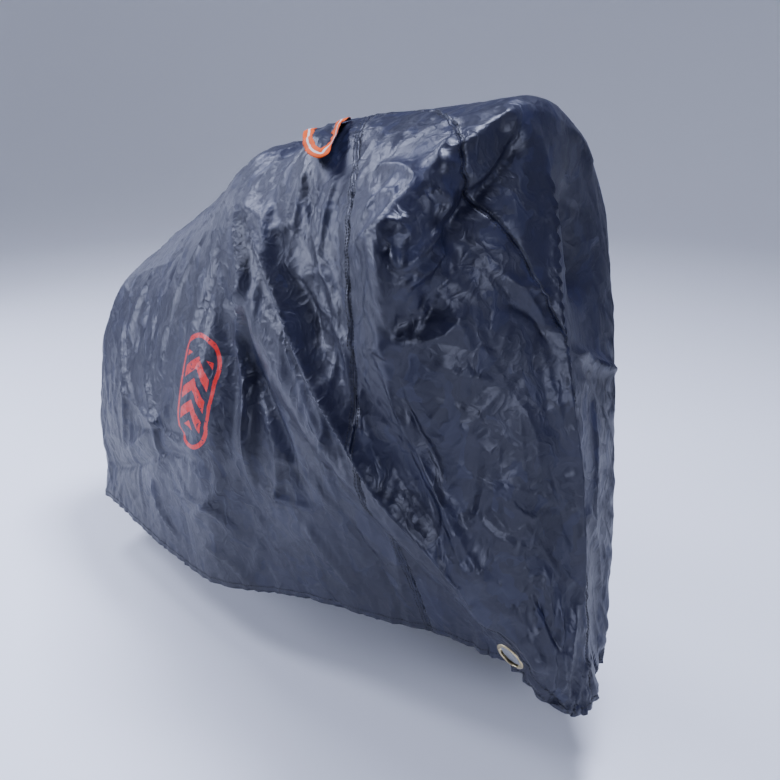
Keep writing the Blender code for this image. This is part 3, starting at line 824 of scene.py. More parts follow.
@dataclass(frozen=True)
class Scatter:
    """The small straight creases of one part of the cloth, strewn over it from a seeded draw.

    angle is their mean lean from straight down, towards the left hand seen from outside, and spread
    how much it varies, both in degrees. length, rise and width are ranges in metres.
    """

    name: str
    low: tuple[float, float, float]
    high: tuple[float, float, float]
    count: int
    angle: float
    spread: float
    length: tuple[float, float]
    rise: tuple[float, float]
    width: tuple[float, float]
    edge: float = 1.5 * MM
    sunk: float = 0.33  # share of them that are troughs

    def heights(self, places: np.ndarray, normals: np.ndarray, rng: np.random.Generator) -> np.ndarray:
        """How far these creases lift each point.

        Args:
            places: Points of the cloth.
            normals: Its normals there.
            rng: The seeded draw.

        Returns:
            One height a point.
        """
        total = np.zeros(len(places))
        within = np.all((places > np.array(self.low)) & (places < np.array(self.high)), axis=1)
        chosen = np.flatnonzero(within)
        order = chosen[np.argsort(places[chosen, 2])]
        levels = places[order, 2]
        if not len(order):
            return total
        for _ in range(self.count):
            middle = order[rng.integers(len(order))]
            normal = normals[middle]
            down = np.array([0.0, 0.0, -1.0]) + normal * normal[2]
            down /= np.linalg.norm(down) + 1e-9
            lean = math.radians(rng.normal(self.angle, self.spread))
            heading = math.cos(lean) * down + math.sin(lean) * np.cross(normal, down)
            half = rng.uniform(*self.length) / 2
            rise = rng.uniform(*self.rise) * (-1 if rng.random() < self.sunk else 1)
            left, right = rng.uniform(*self.width, 2)
            reach = half + 2.5 * max(left, right)
            height = places[middle, 2]
            first, last = np.searchsorted(levels, (height - reach, height + reach))
            near = order[first:last]
            offset = places[near] - places[middle]
            close = np.abs(offset[:, 0]) + np.abs(offset[:, 1]) < 1.5 * reach
            near = near[close]
            offset = offset[close]
            sideways = offset @ np.cross(normal, heading)
            spread = np.where(sideways > 0, left, right)
            far = (np.sqrt(sideways**2 + self.edge**2) - self.edge) / spread
            taper = np.clip(1 - np.abs(offset @ heading) / half, 0, 1)
            total[near] += rise * np.exp(-1.6 * far) * taper * (np.abs(offset @ normal) < 0.06)
        return total


SCATTERS: tuple[Scatter, ...] = (
    Scatter("rear handling", (-1.2, -0.4, -1.2), (-0.25, 0.4, 0.1), 480, 0, 42,
            (0.06, 0.32), (0.0025, 0.0075), (0.005, 0.016)),
    Scatter("middle pulls", (-0.25, -0.4, -1.2), (0.25, 0.4, 0.1), 440, 30, 30,
            (0.06, 0.30), (0.0020, 0.0070), (0.005, 0.016)),
    Scatter("front pulls", (0.20, -0.4, -1.2), (0.55, 0.4, 0.1), 360, 40, 26,
            (0.05, 0.24), (0.0020, 0.0060), (0.005, 0.013)),
    Scatter("front counter pulls", (0.20, -0.4, -1.2), (0.55, 0.4, 0.1), 160, -35, 22,
            (0.04, 0.14), (0.0020, 0.0050), (0.005, 0.012)),
)


def smoothstep(low: float, high: float, value: np.ndarray) -> np.ndarray:
    """Rises smoothly from 0 at one value to 1 at another.

    Args:
        low: Where it starts.
        high: Where it ends.
        value: The values to read.

    Returns:
        The share at each.
    """
    share = np.clip((value - low) / (high - low), 0, 1)
    return share * share * (3 - 2 * share)


def curve_points(path: tuple[tuple[float, float, float], ...], step: float) -> np.ndarray:
    """Reads a smooth curve through a path at even steps.

    Args:
        path: The points it passes.
        step: The distance between two readings.

    Returns:
        The readings.
    """
    knots = np.array(path, float)
    span = run_along(knots)
    slopes = np.gradient(knots, span, axis=0)
    places = np.linspace(0, span[-1], max(int(span[-1] / step), 4))
    i = np.clip(np.searchsorted(span, places, side="right") - 1, 0, len(span) - 2)
    width = (span[i + 1] - span[i])[:, None]
    x = (places - span[i])[:, None] / width
    start = knots[i] * (1 + 2 * x) * (1 - x) ** 2 + slopes[i] * width * x * (1 - x) ** 2
    end = knots[i + 1] * x**2 * (3 - 2 * x) + slopes[i + 1] * width * x**2 * (x - 1)
    return start + end


def crease_height(
    crease: Crease, places: np.ndarray, normals: np.ndarray
) -> tuple[np.ndarray, np.ndarray]:
    """How far a crease lifts the points near it.

    Args:
        crease: The fold.
        places: Points of the cloth.
        normals: Its normals there.

    Returns:
        The numbers of the points it reaches, and their heights.
    """
    line = curve_points(crease.path, 4 * MM)
    left, right, edge, rise = (MM * n for n in (crease.left, crease.right, crease.edge, crease.rise))
    reach = 3.2 * max(left, right)
    inside = np.all((places > line.min(0) - reach) & (places < line.max(0) + reach), axis=1)
    chosen = np.flatnonzero(inside)
    if not len(chosen):
        return chosen, np.zeros(0)
    nearest = np.zeros(len(chosen), int)
    for part in np.array_split(np.arange(len(chosen)), max(len(chosen) // 4000, 1)):
        gap = places[chosen[part]][:, None] - line
        nearest[part] = np.einsum("ijk,ijk->ij", gap, gap).argmin(1)
    heading = np.gradient(line, axis=0)
    heading /= np.linalg.norm(heading, axis=1, keepdims=True)
    offset = places[chosen] - line[nearest]
    normal = normals[chosen]
    side = np.cross(normal, heading[nearest])
    side /= np.linalg.norm(side, axis=1, keepdims=True) + 1e-9
    sideways = np.sum(offset * side, axis=1)
    depth = np.sum(offset * normal, axis=1)
    past = np.sum(offset * heading[nearest], axis=1)
    spread = np.where(sideways > 0, left, right)
    far = (np.sqrt(sideways**2 + edge**2) - edge) / spread
    share = nearest / (len(line) - 1)
    taper = smoothstep(0, crease.ends, share) * smoothstep(0, crease.ends, 1 - share)
    shape = np.exp(-1.6 * far - (depth / 0.12) ** 2 - (past / 0.03) ** 2 * (taper == 0))
    return chosen, rise * shape * taper


# ---- the cover's cloth --------------------------------------------------------------------------
SEAM_JOINS = {
    "centre": ((0, 1), (2, 3)),
    "right side": ((0, 2), (0, 4)),
    "left side": ((1, 3), (1, 5)),
    "right strip": ((2, 4),),
    "left strip": ((3, 5),),
}
SEAM_PULLS = {  # groove's depth, and the puckers' height, pitch and reach
    "centre": (0.0022, 0.0022, 0.024, 0.016),
    "right side": (0.0020, 0.0018, 0.026, 0.014),
    "left side": (0.0020, 0.0018, 0.026, 0.014),
    "right strip": (0.0014, 0.0010, 0.022, 0.010),
    "left strip": (0.0014, 0.0010, 0.022, 0.010),
}
PANELS = (
    "right_rear_panel",
    "left_rear_panel",
    "right_front_panel",
    "left_front_panel",
    "right_hem_strip",
    "left_hem_strip",
)
PRINTED_PANEL = "right_rear_panel"
PRINT_MIDDLE = (-0.42, -0.285, -0.62)
PRINT_FACING = (-0.15, -1.0, 0.12)
PRINT_UP = (0.10, 0.0, 1.0)
PRINT_REACH = 0.3  # no part of the print is farther from its middle
HEM_PULLS = (0.0, 0.0012, 0.020, 0.030)  # as the seams'
GATHERS = (0.0, 0.0050, 0.019, 0.050)  # of the front hem, as on an elastic
GATHERED = (0.22, 0.36)  # where along the cover they begin and are at their full height
GROOVE = 0.006  # half width of a seam's groove


@dataclass
class CoverCloth:
    """All the cloth of the cover: four panels and two hem strips, sewn into one surface."""

    workshop: Workshop
    thickness: float = 1.0 * MM
    weld: float = 1.2 * MM  # the seams' gap, with a little to spare
    cuts: int = 2  # further cuts of each cell after the first rounding
    depth: float = 1.5  # of every listed crease, as a share of its tabled rise
    soften: int = 6  # rounds of smoothing that take out the cells' own corners
    seed: int = 3
    rear_spare: tuple[float, float] = (0.018, 0.010)  # spare length, level and upright
    front_spare: tuple[float, float] = (0.012, 0.008)
    shear: float = 0.5  # firmness of a diagonal beside a thread's 1
    haste: float = 1.3  # share of each thread's error that a round takes away
    hold: float = 0.004  # share of its rise that a point loses in each round
    slide: float = 0.001  # share of its shift along the form that it loses
    rounds: int = 120
    calm_reach: tuple[float, float] = (0.036, 0.07)  # around an eyelet: flat within, free beyond
    carriers: int = 24  # points of the cloth whose mean movement a sewn-on piece follows
    mesh: bpy.types.Mesh | None = None
    places: np.ndarray | None = None
    smooth_form: np.ndarray | None = None  # the places before any crease
    pairs: np.ndarray | None = None  # the ends of every edge
    rim_pairs: np.ndarray | None = None
    on_rim: np.ndarray | None = None
    seams: dict[str, list[np.ndarray]] = field(default_factory=dict)
    hem: np.ndarray | None = None

    def gather(self) -> None:
        """Takes the outer faces of all six nodes together and welds them along their seams."""
        whole = bmesh.new()
        for number, node in enumerate(PANELS):
            shell = outer_shell(node)
            for face in shell.faces:
                face.material_index = number
            part = bpy.data.meshes.new("part")
            shell.to_mesh(part)
            shell.free()
            whole.from_mesh(part)
            bpy.data.meshes.remove(part)
        rims = [v for v in whole.verts if v.is_boundary]
        bmesh.ops.remove_doubles(whole, verts=rims, dist=self.weld)
        self.mesh = bpy.data.meshes.new("cover_cloth")
        whole.to_mesh(self.mesh)
        whole.free()

    def refine(self) -> None:
        """Rounds the cloth once and cuts its cells small enough for creases."""
        holder = link("cover_cloth", self.mesh)
        rounding = holder.modifiers.new("rounding", "SUBSURF")
        rounding.levels = rounding.render_levels = 1
        rounding.boundary_smooth = "PRESERVE_CORNERS"
        graph = bpy.context.evaluated_depsgraph_get()
        rounded = bpy.data.meshes.new_from_object(holder.evaluated_get(graph))
        bpy.data.objects.remove(holder)
        fine = bmesh.new()
        fine.from_mesh(rounded)
        bmesh.ops.subdivide_edges(fine, edges=fine.edges[:], cuts=self.cuts, use_grid_fill=True)
        fine.to_mesh(rounded)
        fine.free()
        self.mesh = rounded
        self.read()
        self.smooth(self.soften)
        self.smooth_form = self.places.copy()

    def read(self) -> None:
        """Reads the mesh's places and edges into arrays."""
        self.places = read_all(self.mesh.vertices, "co", float, 3)
        self.pairs = read_all(self.mesh.edges, "vertices", int, 2)
        uses = np.bincount(read_all(self.mesh.loops, "edge_index", int), minlength=len(self.pairs))
        self.rim_pairs = self.pairs[uses == 1]
        self.on_rim = np.zeros(len(self.places), bool)
        self.on_rim[self.rim_pairs.ravel()] = True

    def chain(self, pairs: np.ndarray) -> list[np.ndarray]:
        """Strings edges together into lines of points.

        Args:
            pairs: The edges' ends.

        Returns:
            The lines, longest first.
        """
        beside: dict[int, list[int]] = {}
        for a, b in pairs.tolist():
            beside.setdefault(a, []).append(b)
            beside.setdefault(b, []).append(a)
        left = {tuple(sorted(pair)) for pair in pairs.tolist()}
        starts = [point for point, ends in beside.items() if len(ends) != 2] + list(beside)
        lines = []
        for start in starts:
            for second in beside[start]:
                if tuple(sorted((start, second))) not in left:
                    continue
                line = [start, second]
                left.discard(tuple(sorted((start, second))))
                while len(beside[line[-1]]) == 2:
                    ahead = [p for p in beside[line[-1]] if tuple(sorted((line[-1], p))) in left]
                    if not ahead:
                        break
                    left.discard(tuple(sorted((line[-1], ahead[0]))))
                    line.append(ahead[0])
                lines.append(np.array(line))
        return sorted(lines, key=len, reverse=True)

    def find_seams(self) -> None:
        """Finds the lines of points along every seam and along the hem."""
        tags = read_all(self.mesh.polygons, "material_index", int)
        owners = np.repeat(tags, read_all(self.mesh.polygons, "loop_total", int))
        loops = read_all(self.mesh.loops, "edge_index", int)
        low = np.full(len(self.pairs), 99)
        high = np.full(len(self.pairs), -1)
        np.minimum.at(low, loops, owners)
        np.maximum.at(high, loops, owners)
        for kind, joins in SEAM_JOINS.items():
            chosen = np.zeros(len(self.pairs), bool)
            for one, two in joins:
                chosen |= (low == one) & (high == two)
            self.seams[kind] = self.chain(self.pairs[chosen])
        self.hem = self.chain(self.rim_pairs)[0]

    def sew(self) -> None:
        """Draws the cloth in along its seams, with puckers, and gathers the elastic front hem."""
        normals = self.normals()
        rng = np.random.default_rng(self.seed + 1)
        lift = np.zeros(len(self.places))
        for kind, lines in self.seams.items():
            for line in lines:
                lift += self.pucker(line, rng, *SEAM_PULLS[kind])
        lift += self.pucker(self.hem, rng, *HEM_PULLS)
        front = smoothstep(*GATHERED, self.places[:, 0])
        lift += front * self.pucker(self.hem, rng, *GATHERS)
        self.places += normals * lift[:, None]
        self.write()

    def pucker(
        self,
        line: np.ndarray,
        rng: np.random.Generator,
        sink: float,
        rise: float,
        pitch: float,
        reach: float,
    ) -> np.ndarray:
        """Small waves across a sewn line, and the groove along it.

        Args:
            line: The points along it.
            rng: The seeded draw.
            sink: Depth of the groove.
            rise: Height of the waves.
            pitch: Mean length of one wave.
            reach: How far they run out into the cloth.

        Returns:
            The lift at each of the cloth's points.
        """
        course = self.places[line]
        run = run_along(course)
        knots = np.arange(0, run[-1] + 2 * pitch, pitch / 2)
        waves = np.interp(run, knots, rng.normal(0, 1, len(knots)) * rise)
        tree = point_tree(course)
        lift = np.zeros(len(self.places))
        low, high = course.min(0) - 3 * reach, course.max(0) + 3 * reach
        box = np.all((self.places > low) & (self.places < high), axis=1)
        for i in np.flatnonzero(box):
            _, nearest, away = tree.find(self.places[i])
            if away < 3 * reach:
                groove = sink * math.exp(-((away / GROOVE) ** 2))
                lift[i] = waves[nearest] * math.exp(-away / reach) - groove
        return lift

    def smooth(self, rounds: int, strength: float = 0.5) -> None:
        """Evens the places out; the hem only slides along itself.

        Args:
            rounds: How many times.
            strength: Share of the way to the neighbours' middle.
        """
        inner = self.pairs[~(self.on_rim[self.pairs].any(1))]
        mixed = self.pairs[self.on_rim[self.pairs].any(1)]
        for _ in range(rounds):
            for step in (strength, -strength * 1.03):
                total = np.zeros_like(self.places)
                count = np.zeros(len(self.places))
                for a, b in ((0, 1), (1, 0)):
                    for pairs in (inner, mixed):
                        take = pairs[~self.on_rim[pairs[:, a]]]
                        np.add.at(total, take[:, a], self.places[take[:, b]])
                        np.add.at(count, take[:, a], 1)
                    np.add.at(total, self.rim_pairs[:, a], self.places[self.rim_pairs[:, b]])
                    np.add.at(count, self.rim_pairs[:, a], 1)
                mean = total / np.maximum(count, 1)[:, None]
                self.places += step * (mean - self.places)
        self.write()

    def write(self) -> None:
        """Writes the places back to the mesh."""
        self.mesh.vertices.foreach_set("co", self.places.astype(np.float32).ravel())
        self.mesh.update()

    def normals(self) -> np.ndarray:
        """The cloth's normals at its points.

        Returns:
            One normal a point.
        """
        return read_all(self.mesh.vertex_normals, "vector", float, 3)

    def fold(self) -> None:
        """Puts in the listed creases."""
        normals = self.normals()
        height = np.zeros(len(self.places))
        for crease in CREASES:
            chosen, lift = crease_height(crease, self.places, normals)
            height[chosen] += lift * self.depth
            LOG.debug("%s: over %d points", crease.name, len(chosen))
        self.places += normals * height[:, None]
        self.write()

    def crumple(self) -> None:
        """Strews the small creases and lets the cloth find its own length around them."""
        normals = self.normals()
        held = self.places.copy()
        rng = np.random.default_rng(self.seed)
        height = np.zeros(len(held))
        for scatter in SCATTERS:
            height += scatter.heights(held, normals, rng)
            LOG.debug("%s: %d creases", scatter.name, scatter.count)
        free = self.calm()
        self.places = held + normals * (height * free)[:, None]
        self.relax(held, normals, free)
        self.write()

    def relax(self, held: np.ndarray, normals: np.ndarray, free: np.ndarray) -> None:
        """Gives the cloth its spare length: it can't stretch or shrink, so it buckles in crisp facets.

        Every thread and both diagonals of every cell are drawn to their own length, round after
        round, while the form under the cloth holds it weakly in place.

        Args:
            held: Where the form holds each point.
            normals: The form's normals.
            free: How freely each point moves, from 0 to 1.
        """
        corners = np.array([tuple(p.vertices) for p in self.mesh.polygons if len(p.vertices) == 4])
        diagonals = np.vstack([corners[:, [0, 2]], corners[:, [1, 3]]])
        threads = np.vstack([self.pairs, diagonals])
        one, two = threads[:, 0], threads[:, 1]
        run = held[two] - held[one]
        length = np.linalg.norm(run, axis=1)
        upright = (run[:, 2] / length) ** 2
        front = smoothstep(-0.05, 0.2, (held[one] + held[two])[:, 0] / 2)
        spares = (self.rear_spare, self.front_spare)
        rear_spare, front_spare = ((1 - upright) * level + upright * up for level, up in spares)
        rest = length * (1 + rear_spare * (1 - front) + front_spare * front)
        firm = np.r_[np.ones(len(self.pairs)), np.full(len(diagonals), self.shear)]
        count = len(held)
        shares = np.bincount(one, firm, count) + np.bincount(two, firm, count)
        step = (self.haste * free / shares)[:, None]
        for _ in range(self.rounds):
            run = self.places[two] - self.places[one]
            now = np.linalg.norm(run, axis=1)
            pull = (firm * (now - rest) / np.maximum(now, 1e-9))[:, None] * run
            move = [np.bincount(one, p, count) - np.bincount(two, p, count) for p in pull.T]
            self.places += np.stack(move, 1) * step
            offset = self.places - held
            rise = np.sum(offset * normals, axis=1)[:, None] * normals
            self.places -= rise * self.hold + (offset - rise) * self.slide

    def calm(self) -> np.ndarray:
        """How freely the cloth may crease at each point: not at all around the eyelets.

        Returns:
            A share for each point.
        """
        free = np.ones(len(self.places))
        for eyelet in ("right_eyelet", "left_eyelet"):
            low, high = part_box(eyelet)
            away = np.linalg.norm(self.places - np.array((low + high) / 2), axis=1)
            free *= smoothstep(*self.calm_reach, away)
        return free

    def build(self) -> list[bpy.types.Object]:
        """Makes the cloth and its pieces.

        Returns:
            The six pieces.
        """
        self.gather()
        self.refine()
        self.find_seams()
        self.fold()
        self.sew()
        self.crumple()
        return self.cut_apart()

    def lay_out_print(self, panel: bmesh.types.BMesh) -> None:
        """Stores each point's place from the middle of the print, in metres across and up.

        Args:
            panel: The panel that carries the print.
        """
        layer = panel.verts.layers.float_vector.new("print_place")
        middle = Vector(PRINT_MIDDLE)
        facing = Vector(PRINT_FACING).normalized()
        upward = Vector(PRINT_UP)
        upward = (upward - facing * upward.dot(facing)).normalized()
        aside = upward.cross(facing)
        for vert in panel.verts:
            offset = vert.co - middle
            near = 1.0 if offset.length < PRINT_REACH else 0.0
            vert[layer] = (offset.dot(aside), offset.dot(upward), near)

    def cut_apart(self) -> list[bpy.types.Object]:
        """Cuts the cloth along its seams into the panels and strips, and gives each its thickness.

        Returns:
            The pieces.
        """
        pieces = []
        for number, node in enumerate(PANELS):
            part = bmesh.new()
            part.from_mesh(self.mesh)
            rest = [f for f in part.faces if f.material_index != number]
            bmesh.ops.delete(part, geom=rest, context="FACES")
            for face in part.faces:
                face.material_index = 0
                face.smooth = True
            area = sum(f.calc_area() for f in part.faces)
            finish = Finish.PRINTED if node == PRINTED_PANEL else Finish.TAFFETA
            if finish is Finish.PRINTED:
                self.lay_out_print(part)
            cloth = self.workshop.piece(f"{node}_cloth", part, finish, (node,))
            wall = cloth.modifiers.new("thickness", "SOLIDIFY")
            wall.thickness = self.thickness
            wall.offset = -1.0
            pieces.append(cloth)
        return pieces

    def carry(self, mesh: bmesh.types.BMesh) -> None:
        """Moves a piece that is sewn on the cloth along with the cloth's creases.

        Args:
            mesh: The piece, as it lies on the smooth form.
        """
        tree = point_tree(self.smooth_form)
        moved = self.places - self.smooth_form
        for vert in mesh.verts:
            near = [i for _, i, _ in tree.find_n(vert.co, self.carriers)]
            vert.co += Vector(moved[near].mean(axis=0))


# ---- the air vents ------------------------------------------------------------------------------
@dataclass
class AirVent:
    """One air vent: a hood of the cover's cloth with its lip standing open, edged with ribbon."""

    workshop: Workshop
    cloth: CoverCloth
    side: str
    hood_wall: float = 0.6 * MM
    ribbon_wall: float = 0.5 * MM
    ribbon_width: float = 23 * MM
    ribbon_rows: int = 7  # points across the ribbon
    ribbon_step: float = 3 * MM  # between its points along it
    overhang: float = 0.06  # share of its width that stands out past the lip
    clearance: float = 0.5 * MM  # between the hood and the ribbon's back
    lip_reach: float = 6 * MM  # the hood's rim is its lip where the CAD ribbon is this near
    cuts: int = 3
    sway: float = 5 * MM  # how far the slack lip swings from its even curve
    swings: float = 38 * MM  # mean length of one swing
    slack: float = 0.05  # how far behind the lip the hood still sways
    creases: float = 2.2 * MM
    crease_size: float = 13 * MM

    def build(self) -> None:
        """Makes the hood and its ribbon."""
        hood = outer_shell(f"{self.side}_vent_hood")
        bmesh.ops.subdivide_edges(hood, edges=hood.edges[:], cuts=self.cuts, use_grid_fill=True)
        for _ in range(6):
            bmesh.ops.smooth_vert(hood, verts=[v for v in hood.verts if not v.is_boundary], factor=0.5)
        lip = self.find_lip(hood)
        self.ruffle(hood, lip)
        self.cloth.carry(hood)
        surface = BVHTree.FromBMesh(hood)
        ribbon = self.ribbon(hood, surface, lip)
        area = sum(f.calc_area() for f in ribbon.faces)
        node = f"{self.side}_vent_hood"
        made = self.workshop.piece(f"{self.side}_hood_cloth", hood, Finish.TAFFETA, (node,))
        self.thicken(made, self.hood_wall)
        node = f"{self.side}_vent_ribbon"
        edging = self.workshop.piece(f"{self.side}_hood_edging", ribbon, Finish.RIBBON, (node,))
        self.thicken(edging, self.ribbon_wall)

    def thicken(self, piece: bpy.types.Object, wall: float) -> None:
        """Gives a sheet its wall, on its inner side.

        Args:
            piece: The sheet.
            wall: Its thickness.
        """
        solid = piece.modifiers.new("thickness", "SOLIDIFY")
        solid.thickness = wall
        solid.offset = -1.0

    def find_lip(self, hood: bmesh.types.BMesh) -> list[int]:
        """Finds the hood's free edge, which is the one beside the ribbon.

        Args:
            hood: The hood's outer face.

        Returns:
            The numbers of its points in order.
        """
        hood.verts.ensure_lookup_table()
        ribbon = FRAME["nodes"][f"{self.side}_vent_ribbon"].data
        tree = point_tree(v.co for v in ribbon.vertices)
        start = next(v for v in hood.verts if v.is_boundary)
        ring, before = [start], None
        while True:
            ahead = [e.other_vert(ring[-1]) for e in ring[-1].link_edges if e.is_boundary]
            ahead = [v for v in ahead if v is not before]
            if ahead[0] is start:
                break
            before = ring[-1]
            ring.append(ahead[0])
        beside = [tree.find(v.co)[2] < self.lip_reach for v in ring]
        first = next(i for i in range(len(ring)) if beside[i] and not beside[i - 1])
        turned = ring[first:] + ring[:first]
        near = beside[first:] + beside[:first]
        return [v.index for v, close in zip(turned, near) if close]

    def ruffle(self, hood: bmesh.types.BMesh, lip: list[int]) -> None:
        """Lets the slack lip sway and creases the hood behind it.

        Args:
            hood: The hood's outer face.
            lip: Its free edge.
        """
        hood.verts.ensure_lookup_table()
        tree = point_tree(hood.verts[number].co for number in lip)
        hood.normal_update()
        moves = []
        for vert in hood.verts:
            _, nearest, away = tree.find(vert.co)
            ends = min(nearest, len(lip) - 1 - nearest) / (0.2 * len(lip))
            loose = math.exp(-((away / self.slack) ** 2)) * min(ends, 1.0)
            swing = self.sway * (2 * noise.noise(vert.co / self.swings) + 0.3) * loose
            spot = vert.co / self.crease_size
            crease = self.creases * (0.5 - abs(noise.noise(spot))) * (0.25 + 0.75 * min(ends, 1.0))
            sag = 1 + noise.noise(vert.co / self.swings + Vector((7, 3, 1)))
            drop = Vector((0.0, 0.0, -0.8 * self.sway * loose * sag))
            moves.append(vert.normal * (swing + crease) + drop)
        for vert, move in zip(hood.verts, moves):
            vert.co += move
        hood.normal_update()

    def evened(self, values: np.ndarray, rounds: int) -> np.ndarray:
        """Evens out a row of vectors along its length, with its ends kept.

        Args:
            values: The vectors.
            rounds: How many times each is drawn to its neighbours' mean.

        Returns:
            The evened row.
        """
        values = values.copy()
        for _ in range(rounds):
            values[1:-1] = (values[:-2] + 2 * values[1:-1] + values[2:]) / 4
        return values

    def ribbon(self, hood: bmesh.types.BMesh, surface: BVHTree, lip: list[int]) -> bmesh.types.BMesh:
        """Lays the ribbon on the hood along its lip.

        Args:
            hood: The finished hood.
            surface: The same, for finding places on it.
            lip: Its free edge.

        Returns:
            The ribbon's outer face, with the attribute across.
        """
        hood.verts.ensure_lookup_table()
        course = np.array([hood.verts[i].co[:] for i in lip])
        course = self.evened(course, 4)
        length = run_along(course)[-1]
        line = places_along(course, np.linspace(0, length, int(length / self.ribbon_step)))
        headings = np.gradient(line, axis=0)
        middle = Vector(np.mean([v.co[:] for v in hood.verts], axis=0))
        rows = self.ribbon_rows
        seats = [surface.find_nearest(Vector(place))[:2] for place in line]
        inwards = []
        for (place, normal), heading in zip(seats, headings):
            inward = normal.cross(Vector(heading)).normalized()
            inwards.append(-inward if inward.dot(middle - place) < 0 else inward)
        inwards = self.evened(np.array(inwards), 12)
        inwards /= np.linalg.norm(inwards, axis=1, keepdims=True)
        places = np.zeros((rows, len(line), 3))
        for j in range(rows):
            out = (j / (rows - 1) - self.overhang) * self.ribbon_width
            for i, (inward, (seat, _)) in enumerate(zip(inwards, seats)):
                spot, facing = surface.find_nearest(seat + Vector(inward) * out)[:2]
                spot = seat + Vector(inward) * out if j == 0 else spot
                places[j, i] = spot + facing * (self.clearance + self.ribbon_wall)
            places[j] = self.evened(places[j], 3)
        mesh = bmesh.new()
        bmesh.ops.create_grid(mesh, x_segments=len(line) - 1, y_segments=rows - 1, size=1)
        layer = mesh.verts.layers.float.new("across")
        for vert in mesh.verts:
            i = round((vert.co.x + 1) / 2 * (len(line) - 1))
            j = round((vert.co.y + 1) / 2 * (rows - 1))
            vert[layer] = j / (rows - 1)
            vert.co = places[j, i]
        bmesh.ops.recalc_face_normals(mesh, faces=mesh.faces[:])
        mesh.normal_update()
        facings = [surface.find_nearest(f.calc_center_median())[1] for f in mesh.faces]
        if sum(f.normal.dot(facing) for f, facing in zip(mesh.faces, facings)) < 0:
            bmesh.ops.reverse_faces(mesh, faces=mesh.faces[:])
        return mesh


# ---- stitching ----------------------------------------------------------------------------------
@dataclass
class Stitching:
    """Rows of lockstitch along the seams and the hem, laid on the finished cloth."""

    workshop: Workshop
    cloth: CoverCloth
    length: float = 4.2 * MM
    pitch: float = 6.6 * MM
    radius: float = 0.65 * MM  # drawn a little thicker than the real 0.4 mm thread, so that it shows
    rows: dict[str, tuple[float, ...]] = field(
        default_factory=lambda: {
            "centre": (-0.0045, 0.0045),
            "right side": (-0.0050, 0.0050, 0.0110),
            "left side": (-0.0050, 0.0050),
            "right strip": (0.0045,),
            "left strip": (0.0045,),
        }
    )
    hem_row: float = 0.014
    start: float = 0.004  # of a row, from its line's end
    sunk: float = 0.45  # height of a stitch's middle over the cloth, as a share of its radius

    def build(self) -> None:
        """Sews every row."""
        shape = bmesh.new()
        shape.from_mesh(self.cloth.mesh)
        surface = BVHTree.FromBMesh(shape)
        shape.free()
        for kind, lines in self.cloth.seams.items():
            mesh = bmesh.new()
            for line in lines:
                for aside in self.rows[kind]:
                    self.sew_row(mesh, surface, self.cloth.places[line], aside)
            self.workshop.piece(kind.replace(" ", "_") + "_seam_stitching", mesh, Finish.THREAD)
        mesh = bmesh.new()
        inward = self.hem_row if self.hem_turns_left(surface) else -self.hem_row
        self.sew_row(mesh, surface, self.cloth.places[self.cloth.hem], inward)
        self.workshop.piece("hem_stitching", mesh, Finish.THREAD)

    def hem_turns_left(self, surface: BVHTree) -> bool:
        """Whether the cloth lies on the left hand of the hem's line.

        Args:
            surface: The finished cloth.

        Returns:
            True if it does.
        """
        hem = self.cloth.places[self.cloth.hem]
        place = Vector(hem[len(hem) // 3])
        heading = Vector(hem[len(hem) // 3 + 1]) - place
        normal = surface.find_nearest(place)[1]
        aside = normal.cross(heading).normalized() * 0.02
        return surface.find_nearest(place + aside)[3] < surface.find_nearest(place - aside)[3]

    def sew_row(
        self, mesh: bmesh.types.BMesh, surface: BVHTree, course: np.ndarray, aside: float
    ) -> None:
        """Sews one row beside a line.

        Args:
            mesh: Where the stitches go.
            surface: The finished cloth.
            course: The line's points.
            aside: The row's distance from it, towards the left hand.
        """
        steps = np.arange(self.start, run_along(course)[-1] - self.pitch, self.pitch)
        starts = places_along(course, steps)
        ends = places_along(course, steps + self.length)
        for start, end in zip(starts, ends):
            heading = Vector(end - start)
            ends_laid = []
            for place in (Vector(start), Vector(end)):
                normal = surface.find_nearest(place)[1]
                across = normal.cross(heading).normalized()
                spot, normal, _, _ = surface.find_nearest(place + across * aside)
                ends_laid.append(spot + normal * self.radius * self.sunk)
            first, last = ends_laid
            along = last - first
            if along.length < 0.3 * self.length or along.length > 2 * self.length:
                continue
            turn = along.to_track_quat("Z", "Y").to_matrix().to_4x4()
            place = Matrix.Translation((first + last) / 2) @ turn
            bmesh.ops.create_cone(
                mesh,
                cap_ends=True,
                segments=6,
                radius1=self.radius,
                radius2=self.radius,
                depth=along.length,
                matrix=place,
            )


# ---- studio -------------------------------------------------------------------------------------
@dataclass(frozen=True)
class Lamp:
    """A soft light, with its turn from the front to the left and its rise in degrees."""

    name: str
    turn: float
    rise: float
    power: float  # in watts
    size: float = 1.0
    away: float = 3.5
    colour: str = "d3dcff"


